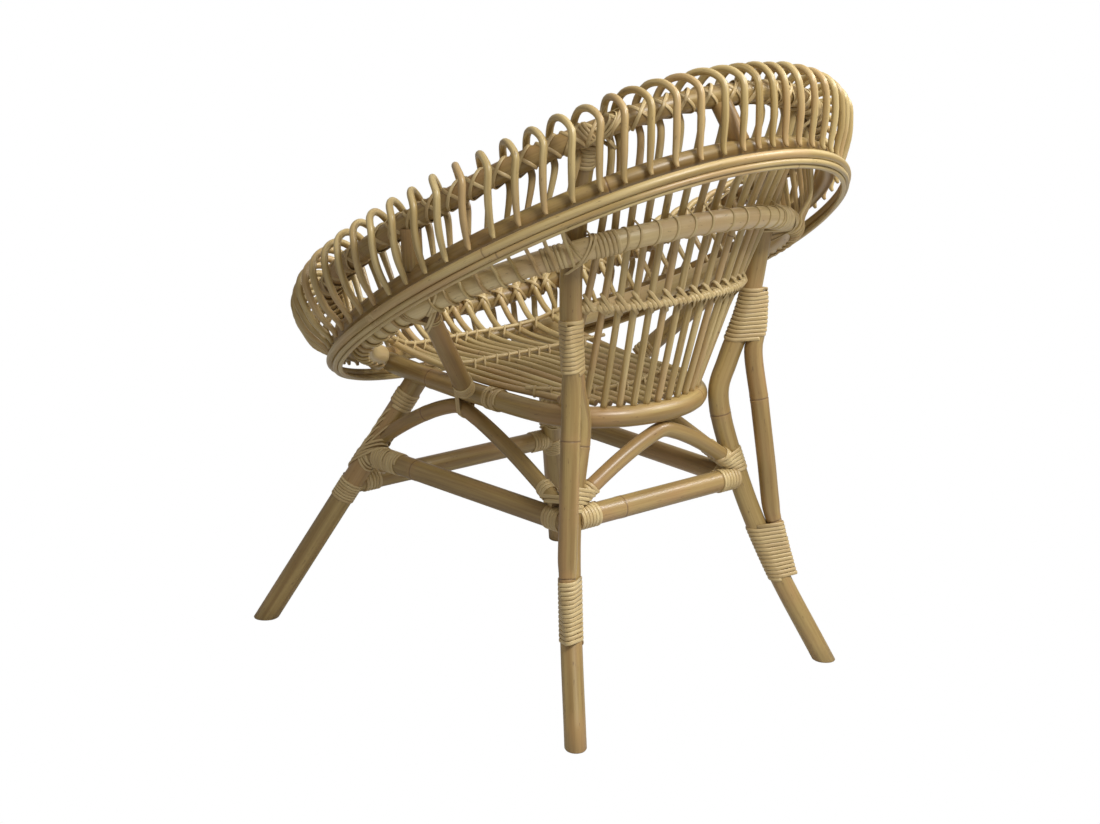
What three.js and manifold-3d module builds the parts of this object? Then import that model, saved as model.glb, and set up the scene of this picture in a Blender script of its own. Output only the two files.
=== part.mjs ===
// Rattan tub chair on splayed legs. Millimetres, +Z up, the sitter faces -Y, +X is the sitter's left.
// The origin is on the floor under the middle of the chair.
import * as THREE from 'three';
import { mergeVertices } from 'three/addons/utils/BufferGeometryUtils.js';
import Module from 'manifold-3d';

const wasm = await Module();
wasm.setup();

// Driving dimensions
const touchGap = 0.3; // between pieces that lie against each other
const degree = Math.PI / 180;

const seatHeight = 362; // seat pole, a flat U that opens to the front, centre line
const seatHalfWidth = 124;
const seatRearDepth = 101;
const seatBack = 76.3; // where its sides meet the rear bend
const seatSideBow = 9;
const seatFrontInset = 11; // front ends, inside its half width
const seatFrontSet = 15; // and behind the lower hoop's centre line
const seatPoleDiameter = 27;

const rimHalfWidth = 316; // upper rim hoop, on its centre line
const rimHalfDepth = 348.5;
const rimRise = 224; // middle of the hoop above the seat pole
const rimForward = 4.3; // middle of the hoop in front of the origin
const rimTilt = 31 * degree; // front edge low
const rimSag = 10; // each side dips this far out of the hoop's plane
const rimDiameter = 25;

const lowerRimDrop = 65.5; // square to the plane of the upper hoop
const lowerRimForward = 10.3; // along that plane
const lowerRimNarrower = 1.5; // its half width under the upper hoop's
const lowerRimDeeper = 5; // and its half depth over it
const lowerRimSag = 4;
const lowerRimDiameter = 21;

const railSideInset = 29; // mid rail, a U that opens to the front, inside the upper hoop
const railRearInset = 97.8;
const railFrontInset = 26.5;
const railRise = 140.7; // above the seat pole
const railBack = 34.9;
const railTilt = 25.7 * degree;
const railDiameter = 27;

const postDiameter = 27; // rear posts
const postTopDiameter = 19;
const postFootHalfWidth = 219;
const postFootBack = 268.3;
const postTopInset = 18.5; // inside the rim hoop's centre line
const postTopDrop = 7;

const braceDiameter = 24; // rear braces, the string of the post's bow
const braceTipDiameter = 6;
const braceFootHeight = 108;
const braceHeadRise = 135; // above the seat pole

const legDiameter = 30; // front legs
const legFootHalfWidth = 270;
const legFootForward = 337.7;
const legTopHalfWidth = 115;
const legTopForward = 184.7;

const stretcherDiameter = 28;
const sideStretcherHeight = 243;
const rearStretcherHeight = 247;
const frontStretcherHeight = 200;

const archDiameter = 20;
const archFootHeight = 262;

const strutDiameter = 24; // arm struts, seat pole to mid rail
const strutForward = 29.7; // lower end
const strutSeatOut = 19;
const strutSeatRise = 11;
const strutRailIn = 16.6;
const strutRailDrop = 12;

const spacerDiameter = 25; // short struts between the two rim hoops

const rodDiameter = 8.8;
const rodFootDiameter = 4; // shaved end nailed to the lower hoop
const rodHookDiameter = 4.8; // shaved end bent round the mid rail
const rodPitch = 5 * degree;
const rodBeatsPost = 1.05 * degree; // the rods beside a post stand this much further off
const rodLean = 3.5 * degree; // a side rod's foot stands this much nearer the front than its top
const loopReach = 45; // how far a rod loops out past the upper hoop
const loopRise = 26; // and over it
const seatRodRise = 18.4; // of the seat rods over the seat pole, centre to centre

const bandUpperDiameter = 11; // strands wound round the rods' feet
const bandMiddleDiameter = 7;
const bandLowerDiameter = 6;

const laceDiameter = 3.2; // cane lashing that ties the rods
const weaveDiameter = 4; // strands woven across the rods
const weaveWave = 4.4;
const weaveTailShare = 0.3; // of the rods' pitch, past the last rod
const backWeaveRise = 149; // above the seat pole

const caneWidth = 6; // flat cane of the bindings
const caneThickness = 1.6;
const canePitch = 6.8;
const bindingSlack = 2.2; // off the poles, which bend inside the turns

// Directions
const right = -1; // sign of X on the sitter's right
const up = new THREE.Vector3(0, 0, 1);

// Face counts
const poleSides = 8;
const rodSides = 4;
const strandSides = 3;
const stepsInHoop = 36;
const stepsInTurn = 8;

// Solids

function meshSolid(positions, index) {
  return new wasm.Manifold(new wasm.Mesh({
    numProp: 3,
    vertProperties: new Float32Array(positions),
    triVerts: new Uint32Array(index),
  }));
}

function toSolid(geometry) {
  const plain = geometry.clone();
  plain.deleteAttribute('normal');
  plain.deleteAttribute('uv');
  const welded = mergeVertices(plain);
  return meshSolid(welded.attributes.position.array, welded.index.array);
}

function toGeometry(solid) {
  const mesh = solid.getMesh();
  const geometry = new THREE.BufferGeometry();
  geometry.setAttribute('position', new THREE.BufferAttribute(mesh.vertProperties.slice(), 3));
  geometry.setIndex(new THREE.BufferAttribute(mesh.triVerts.slice(), 1));
  return geometry;
}

function join(solids) {
  return solids.reduce((whole, solid) => whole.add(solid));
}

function cut(solid, ...tools) {
  return tools.reduce((rest, tool) => rest.subtract(tool), solid);
}

// Skin over rings of equal count; ends are capped unless the rings close on themselves.
function skinRings(rings, closed) {
  const sides = rings[0].length;
  const positions = rings.flat().flatMap((point) => point.toArray());
  const index = [];
  const bays = closed ? rings.length : rings.length - 1;
  for (let bay = 0; bay < bays; bay += 1) {
    const here = bay * sides;
    const next = ((bay + 1) % rings.length) * sides;
    for (let side = 0; side < sides; side += 1) {
      const turn = (side + 1) % sides;
      index.push(here + side, here + turn, next + turn, here + side, next + turn, next + side);
    }
  }
  if (!closed) {
    const last = (rings.length - 1) * sides;
    for (let side = 1; side < sides - 1; side += 1) {
      index.push(0, side + 1, side, last, last + side, last + side + 1);
    }
  }
  const geometry = new THREE.BufferGeometry();
  geometry.setAttribute('position', new THREE.Float32BufferAttribute(positions, 3));
  geometry.setIndex(index);
  return geometry;
}

// Round section of any radius along points. The first corner of each ring looks along across x tangent.
function taperedTube(points, radii, sides, across) {
  const rings = points.map((point, i) => {
    const before = points[Math.max(i - 1, 0)];
    const after = points[Math.min(i + 1, points.length - 1)];
    const tangent = after.clone().sub(before).normalize();
    const first = across.clone().cross(tangent).normalize();
    const second = tangent.clone().cross(first);
    return ring(point, first, second, radii[i], sides);
  });
  return skinRings(rings, false);
}

function ring(centre, first, second, radius, sides) {
  const corners = [];
  for (let side = 0; side < sides; side += 1) {
    const angle = (2 * Math.PI * side) / sides;
    corners.push(centre.clone()
      .addScaledVector(first, radius * Math.cos(angle))
      .addScaledVector(second, radius * Math.sin(angle)));
  }
  return corners;
}

// Pole of one thickness bent along a curve
function bentPole(curve, radius, steps) {
  const outline = [];
  for (let side = 0; side < poleSides; side += 1) {
    const angle = (2 * Math.PI * side) / poleSides;
    outline.push(new THREE.Vector2(radius * Math.cos(angle), radius * Math.sin(angle)));
  }
  const options = { extrudePath: curve, steps, bevelEnabled: false };
  return toSolid(new THREE.ExtrudeGeometry(new THREE.Shape(outline), options));
}

function straightPole(from, to, radius) {
  return bentPole(new THREE.LineCurve3(from, to), radius, 1);
}

function smooth(points) {
  return new THREE.CatmullRomCurve3(points, false, 'centripetal');
}

function mirrored(point, side) {
  return new THREE.Vector3(point.x * side, point.y, point.z);
}

function blend(a, b, shares) {
  return new THREE.Vector3(
    THREE.MathUtils.lerp(a.x, b.x, shares[0]),
    THREE.MathUtils.lerp(a.y, b.y, shares[1]),
    THREE.MathUtils.lerp(a.z, b.z, shares[2]),
  );
}

// Point where a curve crosses the plane at a distance along a direction
function crossing(curve, origin, direction, distance) {
  let low = 0;
  let high = 1;
  const rising = curve.getPoint(high).sub(curve.getPoint(low)).dot(direction) > 0;
  for (let halving = 0; halving < 40; halving += 1) {
    const middle = (low + high) / 2;
    const beyond = curve.getPoint(middle).sub(origin).dot(direction) > distance;
    if (beyond === rising) high = middle;
    else low = middle;
  }
  return curve.getPoint((low + high) / 2);
}

function atHeight(curve, height) {
  return crossing(curve, new THREE.Vector3(), up, height);
}

// Hoops: ellipses in a plane that is tilted about X. A sag dips the sides, most of all at an angle
// from the widest place, and fades out to either side of it.
const sagAngle = 24 * degree;
const sagSpan = 60 * degree;

function sagShare(angle) {
  const side = Math.atan2(Math.sin(angle), Math.abs(Math.cos(angle)));
  const away = Math.min(Math.abs(side - sagAngle) / sagSpan, 1);
  return Math.cos((away * Math.PI) / 2) ** 2;
}

function tiltedEllipse(centre, halfWidth, rearDepth, frontDepth, tilt, sag) {
  const back = new THREE.Vector3(0, Math.cos(tilt), Math.sin(tilt));
  const normal = new THREE.Vector3(0, -Math.sin(tilt), Math.cos(tilt));
  const depth = (angle) => (Math.sin(angle) > 0 ? rearDepth : frontDepth);
  const point = (angle) => centre.clone()
    .add(new THREE.Vector3(halfWidth * Math.cos(angle), 0, 0))
    .addScaledVector(back, depth(angle) * Math.sin(angle))
    .addScaledVector(normal, -sag * sagShare(angle));
  const outward = (angle) => new THREE.Vector3(Math.cos(angle) * depth(angle), 0, 0)
    .addScaledVector(back, Math.sin(angle) * halfWidth).normalize();
  const along = (angle) => normal.clone().cross(outward(angle));
  const offset = (angle, out, rise) => point(angle)
    .addScaledVector(outward(angle), out)
    .addScaledVector(normal, rise);
  return { normal, point, outward, along, offset };
}

// Closed hoop that keeps an offset from an ellipse
function hoopSolid(ellipse, out, rise, radius, sides) {
  const rings = [];
  for (let step = 0; step < stepsInHoop; step += 1) {
    const angle = -(2 * Math.PI * step) / stepsInHoop;
    rings.push(ring(ellipse.offset(angle, out, rise), ellipse.outward(angle), ellipse.normal, radius, sides));
  }
  return toSolid(skinRings(rings, true));
}

const rimRadius = rimDiameter / 2;
const lowerRimRadius = lowerRimDiameter / 2;
const railRadius = railDiameter / 2;
const seatPoleRadius = seatPoleDiameter / 2;
const postRadius = postDiameter / 2;
const rodRadius = rodDiameter / 2;

const rimCentre = new THREE.Vector3(0, -rimForward, seatHeight + rimRise);
const rim = tiltedEllipse(rimCentre, rimHalfWidth, rimHalfDepth, rimHalfDepth, rimTilt, rimSag);
const lowerRimCentre = rimCentre.clone()
  .addScaledVector(rim.normal, -lowerRimDrop)
  .addScaledVector(rim.outward(-Math.PI / 2), lowerRimForward);
const lowerRimDepth = rimHalfDepth + lowerRimDeeper;
const lowerRim = tiltedEllipse(
  lowerRimCentre,
  rimHalfWidth - lowerRimNarrower,
  lowerRimDepth,
  lowerRimDepth,
  rimTilt,
  lowerRimSag,
);
const railCentre = new THREE.Vector3(0, railBack, seatHeight + railRise);
const rail = tiltedEllipse(
  railCentre,
  rimHalfWidth - railSideInset,
  rimHalfDepth - railRearInset,
  rimHalfDepth - railFrontInset,
  railTilt,
  0,
);

const rimSolid = hoopSolid(rim, 0, 0, rimRadius, poleSides);
const lowerRimSolid = hoopSolid(lowerRim, 0, 0, lowerRimRadius, poleSides);
const rimRoom = hoopSolid(rim, 0, 0, rimRadius + touchGap, poleSides);
const lowerRimRoom = hoopSolid(lowerRim, 0, 0, lowerRimRadius + touchGap, poleSides);

// The seat pole's front ends meet the lower hoop
const seatFrontHalfWidth = seatHalfWidth - seatFrontInset;
const seatFrontAngle = -Math.acos(seatFrontHalfWidth / rimHalfWidth);
const seatFront = -lowerRim.point(seatFrontAngle).y - seatFrontSet;

// Mid rail: its front ends turn in beside the seat pole and saddle the lower hoop
const railTurnAngle = 56 * degree; // before the front, where the bend leaves the ellipse
const railTurnStep = 8 * degree;
const railEndShares = [[0.4, 0.38, 0.42], [1, 1, 1]]; // from the ellipse's last point to the end

function railCurve() {
  const last = rail.point(-railTurnAngle);
  const end = new THREE.Vector3(
    seatFrontHalfWidth + seatPoleRadius + railRadius + rimRadius / 5,
    -seatFront + rimRadius * 0.8,
    seatHeight + rimRadius * 0.65,
  );
  const points = railEndShares.map((shares) => blend(last, end, shares)).reverse();
  for (let angle = -railTurnAngle; angle < Math.PI / 2; angle += railTurnStep) {
    points.push(rail.point(angle));
  }
  const half = points.filter((point) => point.x > railRadius);
  const rear = rail.point(Math.PI / 2);
  return smooth([...half, rear, ...half.map((point) => mirrored(point, right)).reverse()]);
}

// Seat pole: straight bowed sides and an elliptical rear bend
const seatSideShares = [1, 0.75, 0.5, 0.25];
const seatBendAngles = [0, 20, 40, 60, 75, 90].map((angle) => angle * degree);

function seatSidePoint(share) {
  const halfWidth = THREE.MathUtils.lerp(seatHalfWidth, seatFrontHalfWidth, share);
  const bow = seatSideBow * Math.sin(Math.PI * share);
  return new THREE.Vector3(halfWidth + bow, THREE.MathUtils.lerp(seatBack, -seatFront, share), seatHeight);
}

function seatBendPoint(angle) {
  return new THREE.Vector3(
    seatHalfWidth * Math.cos(angle),
    seatBack + seatRearDepth * Math.sin(angle),
    seatHeight,
  );
}

function seatCurve() {
  const half = [...seatSideShares.map(seatSidePoint), ...seatBendAngles.map(seatBendPoint)];
  const others = half.slice(0, -1).map((point) => mirrored(point, right)).reverse();
  return smooth([...half, ...others]);
}

const railLine = railCurve();
const seatLine = seatCurve();
const railSteps = 36;
const seatSteps = 28;
const railRoom = bentPole(railLine, railRadius + touchGap, railSteps);
const seatRoom = bentPole(seatLine, seatPoleRadius + touchGap, seatSteps);
const railSolid = cut(bentPole(railLine, railRadius, railSteps), lowerRimRoom);
const seatSolid = cut(bentPole(seatLine, seatPoleRadius, seatSteps), lowerRimRoom);

// Rear posts: bent poles that pass outside the seat pole and inside the mid rail
const seatTouchAngle = 37.5 * degree;
const railTouchAngle = 53 * degree;
const postTopAngle = 55 * degree;
const crossingSlack = 2 * touchGap;
const postLowerShares = [[0.42, 0.53, 0.36], [0.73, 0.87, 0.68]];
const postMiddleShares = [[0.28, 0.1, 0.18], [0.72, 0.5, 0.48], [0.96, 0.8, 0.86]];
const postUpperShares = [[0.5, 0.3, 0.43], [1, 0.7, 0.8]];
const postTaperShare = 0.86; // of the height, where the shaved top begins
const postSteps = 16;

function seatOutward(angle) {
  return new THREE.Vector3(Math.cos(angle) / seatHalfWidth, Math.sin(angle) / seatRearDepth, 0).normalize();
}

function postCurve() {
  const foot = new THREE.Vector3(postFootHalfWidth, postFootBack, 0);
  const waist = seatBendPoint(seatTouchAngle)
    .addScaledVector(seatOutward(seatTouchAngle), seatPoleRadius + postRadius + crossingSlack);
  const top = rim.offset(postTopAngle, -postTopInset, 0);
  const lean = top.clone().sub(waist).normalize();
  const side = rail.along(railTouchAngle).cross(lean).normalize();
  const crook = rail.point(railTouchAngle).addScaledVector(side, -(railRadius + postRadius + crossingSlack));
  return smooth([
    foot,
    ...postLowerShares.map((shares) => blend(foot, waist, shares)),
    waist,
    ...postMiddleShares.map((shares) => blend(waist, crook, shares)),
    crook,
    ...postUpperShares.map((shares) => blend(crook, top, shares)),
    top,
  ]);
}

const postLine = postCurve();
const postTopHeight = postLine.getPoint(1).z;

function postRadiusAt(height) {
  const start = postTopHeight * postTaperShare;
  const share = THREE.MathUtils.clamp((height - start) / (postTopHeight - start - postTopDrop), 0, 1);
  return THREE.MathUtils.lerp(postRadius, postTopDiameter / 2, share);
}

// Across the post, so that a corner of its section faces the seat pole
const postAcross = up.clone().cross(seatOutward(seatTouchAngle));

// Everything below the floor is cut off
const floorBlockSize = 4 * postFootHalfWidth;
const floorBlock = toSolid(new THREE.BoxGeometry(floorBlockSize, floorBlockSize, floorBlockSize)
  .translate(0, 0, -floorBlockSize / 2));

function longPost(extra) {
  const start = postLine.getPoint(0);
  const below = start.clone().addScaledVector(postLine.getTangent(0), -postDiameter);
  const points = [below, ...postLine.getSpacedPoints(postSteps)];
  const radii = points.map((point) => postRadiusAt(point.z) + extra);
  return toSolid(taperedTube(points, radii, poleSides, postAcross));
}

const postRoom = longPost(touchGap);
const postSolid = cut(longPost(0), floorBlock, rimRoom);

// Rear braces: straight between two scarfed ends that lie along the post
const braceHead = seatHeight + braceHeadRise;
const braceFootRun = 78; // length of the lower scarf, in height
const braceHeadRun = 68;

function braceRadiusAt(height) {
  const tip = braceTipDiameter / 2;
  const full = braceDiameter / 2;
  const foot = (height - braceFootHeight) / (1.3 * braceFootRun);
  const head = (braceHead - height) / (1.1 * braceHeadRun);
  return THREE.MathUtils.lerp(tip, full, THREE.MathUtils.clamp(Math.min(foot, head), 0, 1));
}

function besidePost(height) {
  const reach = postRadius + braceRadiusAt(height) + 3 * crossingSlack;
  const along = atHeight(postLine, height + postRadius).sub(atHeight(postLine, height - postRadius)).normalize();
  const square = seatOutward(seatTouchAngle).projectOnPlane(along).normalize();
  return atHeight(postLine, height).addScaledVector(square, reach);
}

function bracePoints() {
  const low = braceFootHeight + braceFootRun;
  const high = braceHead - braceHeadRun;
  const foot = [0, 0.25, 0.5, 0.75].map((share) => besidePost(braceFootHeight + share * braceFootRun));
  const head = [0.25, 0.5, 0.75, 1].map((share) => besidePost(high + share * braceHeadRun));
  const straight = [0, 0.33, 0.67, 1].map((share) => besidePost(low).lerp(besidePost(high), share));
  return [...foot, ...straight, ...head];
}

const braceLine = smooth(bracePoints());
const braceSteps = 11;
const braceStations = braceLine.getSpacedPoints(braceSteps);
const braceRadii = braceStations.map((point) => braceRadiusAt(point.z));
const braceSolid = toSolid(taperedTube(braceStations, braceRadii, poleSides, postAcross));

// Front legs: straight poles under the seat pole
const legRadius = legDiameter / 2;
const legFoot = new THREE.Vector3(legFootHalfWidth, -legFootForward, 0);
const legTop = new THREE.Vector3(legTopHalfWidth, -legTopForward, seatHeight - seatPoleRadius);
const legLine = new THREE.LineCurve3(legFoot, legTop);

function legPole(radius) {
  const lean = legTop.clone().sub(legFoot).normalize();
  return straightPole(
    legFoot.clone().addScaledVector(lean, -legDiameter),
    legTop.clone().addScaledVector(lean, seatPoleRadius / 3),
    radius,
  );
}

const legRoom = legPole(legRadius + touchGap);
const legSolid = cut(legPole(legRadius), floorBlock, seatRoom);

// Stretchers, cut to saddle the legs they join
const stretcherRadius = stretcherDiameter / 2;

// Pole between the axes of two legs, whose ends stop a little short of them
function betweenLegs(from, to, radius) {
  const short = to.clone().sub(from).setLength(stretcherRadius / 2);
  return straightPole(from.clone().add(short), to.clone().sub(short), radius);
}

// The same solid on the chair's other side
function flip(solid) {
  const geometry = toGeometry(solid).scale(right, 1, 1);
  const facets = [];
  const index = geometry.index.array;
  for (let corner = 0; corner < index.length; corner += 3) {
    facets.push(index[corner], index[corner + 2], index[corner + 1]);
  }
  return meshSolid(geometry.attributes.position.array, facets);
}

const legAtSide = atHeight(legLine, sideStretcherHeight);
const postAtSide = atHeight(postLine, sideStretcherHeight);
const postAtRear = atHeight(postLine, rearStretcherHeight);
const legAtFront = atHeight(legLine, frontStretcherHeight);

const rearStretcher = cut(
  betweenLegs(mirrored(postAtRear, right), postAtRear, stretcherRadius),
  postRoom,
  flip(postRoom),
);
const rearStretcherRoom = straightPole(
  mirrored(postAtRear, right),
  postAtRear,
  stretcherRadius + touchGap,
);
const frontStretcher = cut(
  betweenLegs(mirrored(legAtFront, right), legAtFront, stretcherRadius),
  legRoom,
  flip(legRoom),
);
const sideStretcher = cut(
  betweenLegs(legAtSide, postAtSide, stretcherRadius),
  legRoom,
  postRoom,
  rearStretcherRoom,
);
const sideStretcherRoom = betweenLegs(legAtSide, postAtSide, stretcherRadius + touchGap);

// Arches: thin poles bent up from the corners to the underside of the seat pole
const archRadius = archDiameter / 2;
const archCrown = seatHeight - seatPoleRadius - archRadius - crossingSlack;
const archPower = 1.35; // 1 for straight legs, 2 for a round bow
const archCrownShare = 0.46; // of the seat pole's side, where a side arch meets it
const archPoints = 12;
const archSteps = 9;

function archCurve(from, to, crown) {
  const points = [];
  for (let i = 0; i <= archPoints; i += 1) {
    const share = i / archPoints;
    const rise = 1 - Math.abs(2 * share - 1) ** archPower;
    const base = from.clone().lerp(to, share);
    const middle = from.clone().lerp(to, 1 / 2);
    points.push(base.addScaledVector(crown.clone().sub(middle), rise));
  }
  return smooth(points);
}

const sideArchLine = archCurve(
  atHeight(legLine, archFootHeight),
  new THREE.Vector3(postAtSide.x, postAtSide.y - postRadius - archRadius, archFootHeight),
  seatSidePoint(archCrownShare).setZ(archCrown),
);
const sideArch = cut(bentPole(sideArchLine, archRadius, archSteps), legRoom, sideStretcherRoom, postRoom);
const postAtArch = atHeight(postLine, archFootHeight);
const rearArchLine = archCurve(
  mirrored(postAtArch, right),
  postAtArch,
  new THREE.Vector3(0, seatBack + seatRearDepth, archCrown),
);
const rearArch = cut(
  bentPole(rearArchLine, archRadius, archSteps),
  postRoom,
  flip(postRoom),
  rearStretcherRoom,
);

// Arm struts
const strutLow = new THREE.Vector3(seatSidePoint(0.33).x + strutSeatOut, -strutForward, seatHeight + strutSeatRise);
const strutRailAngle = 5 * degree;
const strutHigh = rail.point(strutRailAngle).add(new THREE.Vector3(-strutRailIn, 0, -strutRailDrop));
const strutSolid = cut(straightPole(strutLow, strutHigh, strutDiameter / 2), seatRoom, railRoom);

// Short struts between the rim hoops, leaning as the hoops are nailed
function spacer(topAngle, bottomAngle) {
  const seat = rimRadius * 0.7;
  const pole = straightPole(
    rim.offset(topAngle, 0, -seat),
    lowerRim.offset(bottomAngle, 0, seat * 0.8),
    spacerDiameter / 2,
  );
  return cut(pole, rimRoom, lowerRimRoom);
}

// Rods

// Out and up from the upper hoop, in shares of the reach and the rise, then how much of the lower
// hoop's own offset and of the rod's lean the point takes
const loopShares = [
  [0.7, -1.55, 0.8, 0.6],
  [0.94, -0.85, 0.55, 0.3],
  [1, -0.1, 0.3, 0.1],
  [0.76, 0.58, 0.1, 0],
  [0.25, 1, 0, 0],
  [-0.25, 0.68, 0, 0],
];
const loopInside = rimRadius + rodRadius + touchGap;
const footRadius = rodFootDiameter / 2;
const footReach = lowerRimRadius + footRadius + touchGap;

// How far the hoops' flat bays lie inside the ellipse where the rods pass
const hoopSag = 0.95 * rimHalfDepth * (1 - Math.cos(Math.PI / stepsInHoop));
const outsideReach = lowerRimRadius + rodRadius + 2 * touchGap + hoopSag / 2;

// Rings of one rod from its foot on the lower hoop, out, over the upper hoop and down inside it
function rodLoop(angle) {
  const fallAt = (spot) => {
    const fall = lowerRim.point(spot).sub(rim.point(spot));
    return { shift: fall.dot(rim.outward(spot)), drop: fall.dot(rim.normal) };
  };
  const leaning = (share) => angle - rodLean * Math.cos(angle) * share;
  const place = (spot, out, rise, radius) => ({ point: rim.offset(spot, out - hoopSag, rise), radius });
  const byFoot = leaning(1);
  const { shift, drop } = fallAt(byFoot);
  return [
    place(byFoot, shift + footReach * 0.98, drop - footReach * 0.98, footRadius),
    place(byFoot, shift + outsideReach, drop + footReach * 0.31, rodRadius * 0.9),
    ...loopShares.map(([out, rise, take, lean]) => place(
      leaning(lean),
      out * loopReach + take * shift,
      rise * loopRise,
      rodRadius,
    )),
    place(angle, -loopInside, rodRadius * 0.5, rodRadius),
    place(angle, -loopInside - touchGap, -rodRadius * 2.4, rodRadius),
  ];
}

function rodSolid(angle, rings) {
  return toSolid(taperedTube(
    rings.map((entry) => entry.point),
    rings.map((entry) => entry.radius),
    rodSides,
    rim.along(angle),
  ));
}

function rodAngles(count, middle) {
  const angles = [];
  for (let i = 0; i < count; i += 1) {
    angles.push(middle + rodPitch * (i - (count - 1) / 2));
  }
  return angles;
}

// Cane strand that runs along the inside of the upper hoop, over each rod and back to the hoop
function lace(angles) {
  const over = loopInside + hoopSag + rodRadius - laceDiameter * 0.1;
  const under = rimRadius + hoopSag + touchGap + laceDiameter * 0.7;
  const rise = rodRadius * 0.5;
  const points = [];
  angles.forEach((angle, i) => {
    points.push(rim.offset(angle, -over, rise));
    if (i < angles.length - 1) {
      points.push(rim.offset((angle + angles[i + 1]) / 2, -under, rise));
    }
  });
  return toSolid(taperedTube(points, points.map(() => laceDiameter / 2), strandSides, rim.normal));
}

// Strand woven over and under a row of rods, given the rods' points in order
function weave(points, face) {
  const path = points.map((point, i) => point.clone().addScaledVector(face, i % 2 ? -weaveWave : weaveWave));
  const last = points.length - 1;
  path.unshift(path[0].clone().addScaledVector(points[0].clone().sub(points[1]), weaveTailShare));
  path.push(path[last + 1].clone().addScaledVector(points[last].clone().sub(points[last - 1]), weaveTailShare));
  return toSolid(taperedTube(path, path.map(() => weaveDiameter / 2), strandSides, face));
}

// Back rods: over the rear of the rim, inside the mid rail, down to the top of the seat pole
const backRodCount = 14;
const backSpreadShare = 0.917; // of the seat pole's half width, where the outer rods stand
const backRodPitch = (2 * backSpreadShare * seatHalfWidth) / (backRodCount - 1);
const railSpread = 1.06; // of the rods' angles where they pass the mid rail
const railCrowding = 0.14; // less of it beside the posts
const backSpan = rodPitch * (backRodCount / 2);

function backAngles() {
  return rodAngles(backRodCount, Math.PI / 2).map((angle, i) => {
    if (i === 0) return angle + rodBeatsPost;
    if (i === backRodCount - 1) return angle - rodBeatsPost;
    return angle;
  });
}

function backRodLine(angle, i) {
  const turn = angle - Math.PI / 2;
  const railAngle = Math.PI / 2 + turn * (railSpread - railCrowding * (turn / backSpan) ** 2);
  const x = backRodPitch * ((backRodCount - 1) / 2 - i);
  const bend = Math.acos(x / seatHalfWidth);
  const foot = seatBendPoint(bend).setZ(seatHeight + seatPoleRadius + rodRadius * 0.35 + crossingSlack);
  const shoulder = rim.offset(angle, -loopInside - hoopSag - touchGap, -rodRadius * 3.6);
  const lean = shoulder.clone().sub(foot).normalize();
  const inward = rail.along(railAngle).cross(lean).normalize();
  const byRail = rail.point(railAngle)
    .addScaledVector(inward, -(railRadius + rodRadius + crossingSlack));
  return { shoulder, byRail, foot };
}

function backRods() {
  const angles = backAngles();
  const crossings = [];
  const rods = angles.map((angle, i) => {
    const line = backRodLine(angle, i);
    crossings.push(crossing(
      new THREE.LineCurve3(line.foot, line.byRail),
      new THREE.Vector3(),
      up,
      seatHeight + backWeaveRise,
    ));
    const tail = [line.shoulder, line.byRail, line.foot].map((point) => ({ point, radius: rodRadius }));
    return rodSolid(angle, [...rodLoop(angle).slice(0, -1), ...tail]);
  });
  const face = new THREE.Vector3(0, 1, 0);
  return join([...rods, weave(crossings, face)]);
}

// Seat rods: over the front of the rim and back along the seat
const seatRodCount = 14;
const seatSpreadShare = 0.873; // of the seat pole's half width, where the outer rods lie
const seatRodPitch = (2 * seatSpreadShare * seatHalfWidth) / (seatRodCount - 1);
const seatWeaveShares = [0.02, 0.36, 0.86]; // of the run from the front bend to the rear end
const seatRearButt = 21; // rear ends, inside the seat pole's centre line
const seatMiddleDip = 9; // of the middle rods' rear ends under the outer ones
const seatFrontBend = 42; // behind the rods' front shoulder
const seatSplitShare = 0.5;

function seatRodLine(angle, i) {
  const order = i - (seatRodCount - 1) / 2;
  const outer = Math.abs(order) / ((seatRodCount - 1) / 2);
  const level = seatHeight + seatRodRise;
  const x = seatRodPitch * order;
  const shoulder = rim.offset(angle, -loopInside - hoopSag - touchGap, -rodRadius * 3);
  const bend = Math.acos(x / seatHalfWidth);
  const rearY = seatBendPoint(bend).y - seatRearButt;
  const rear = new THREE.Vector3(x, rearY, level - seatMiddleDip * (1 - outer ** 2));
  const front = new THREE.Vector3(
    THREE.MathUtils.lerp(shoulder.x, rear.x, 0.2),
    shoulder.y + seatFrontBend,
    level + outer ** 4 * rodDiameter * 2.4,
  );
  const middle = front.clone().lerp(rear, seatSplitShare).setZ(level);
  return { shoulder, front, middle, rear };
}

function seatRods() {
  const angles = rodAngles(seatRodCount, -Math.PI / 2);
  const lines = angles.map(seatRodLine);
  const rods = angles.map((angle, i) => {
    const line = lines[i];
    const tail = [line.shoulder, line.front, line.middle, line.rear];
    return rodSolid(angle, [
      ...rodLoop(angle).slice(0, -1),
      ...tail.map((point) => ({ point, radius: rodRadius })),
    ]);
  });
  const strands = seatWeaveShares.map((share) => weave(
    lines.map((line) => new THREE.CatmullRomCurve3([line.front, line.middle, line.rear]).getPoint(share)),
    up,
  ));
  return join([...rods, ...strands]);
}

// Side rods: over the side of the rim, inside the lower hoop and hooked round the mid rail
const sideRodCount = 22;
const hookRadius = rodHookDiameter / 2;
const hookStep = 55 * degree;
const hookReach = (railRadius + hookRadius + 3 * touchGap) / Math.cos(hookStep / 2);
const hookSteps = 3;
const shortHookSteps = 1; // where an arm strut meets the rail
const frontRailLead = 1.04; // the rail's angle over the rim's, towards the front
const postCrowding = 0.07; // and under it, beside a rear post

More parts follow.
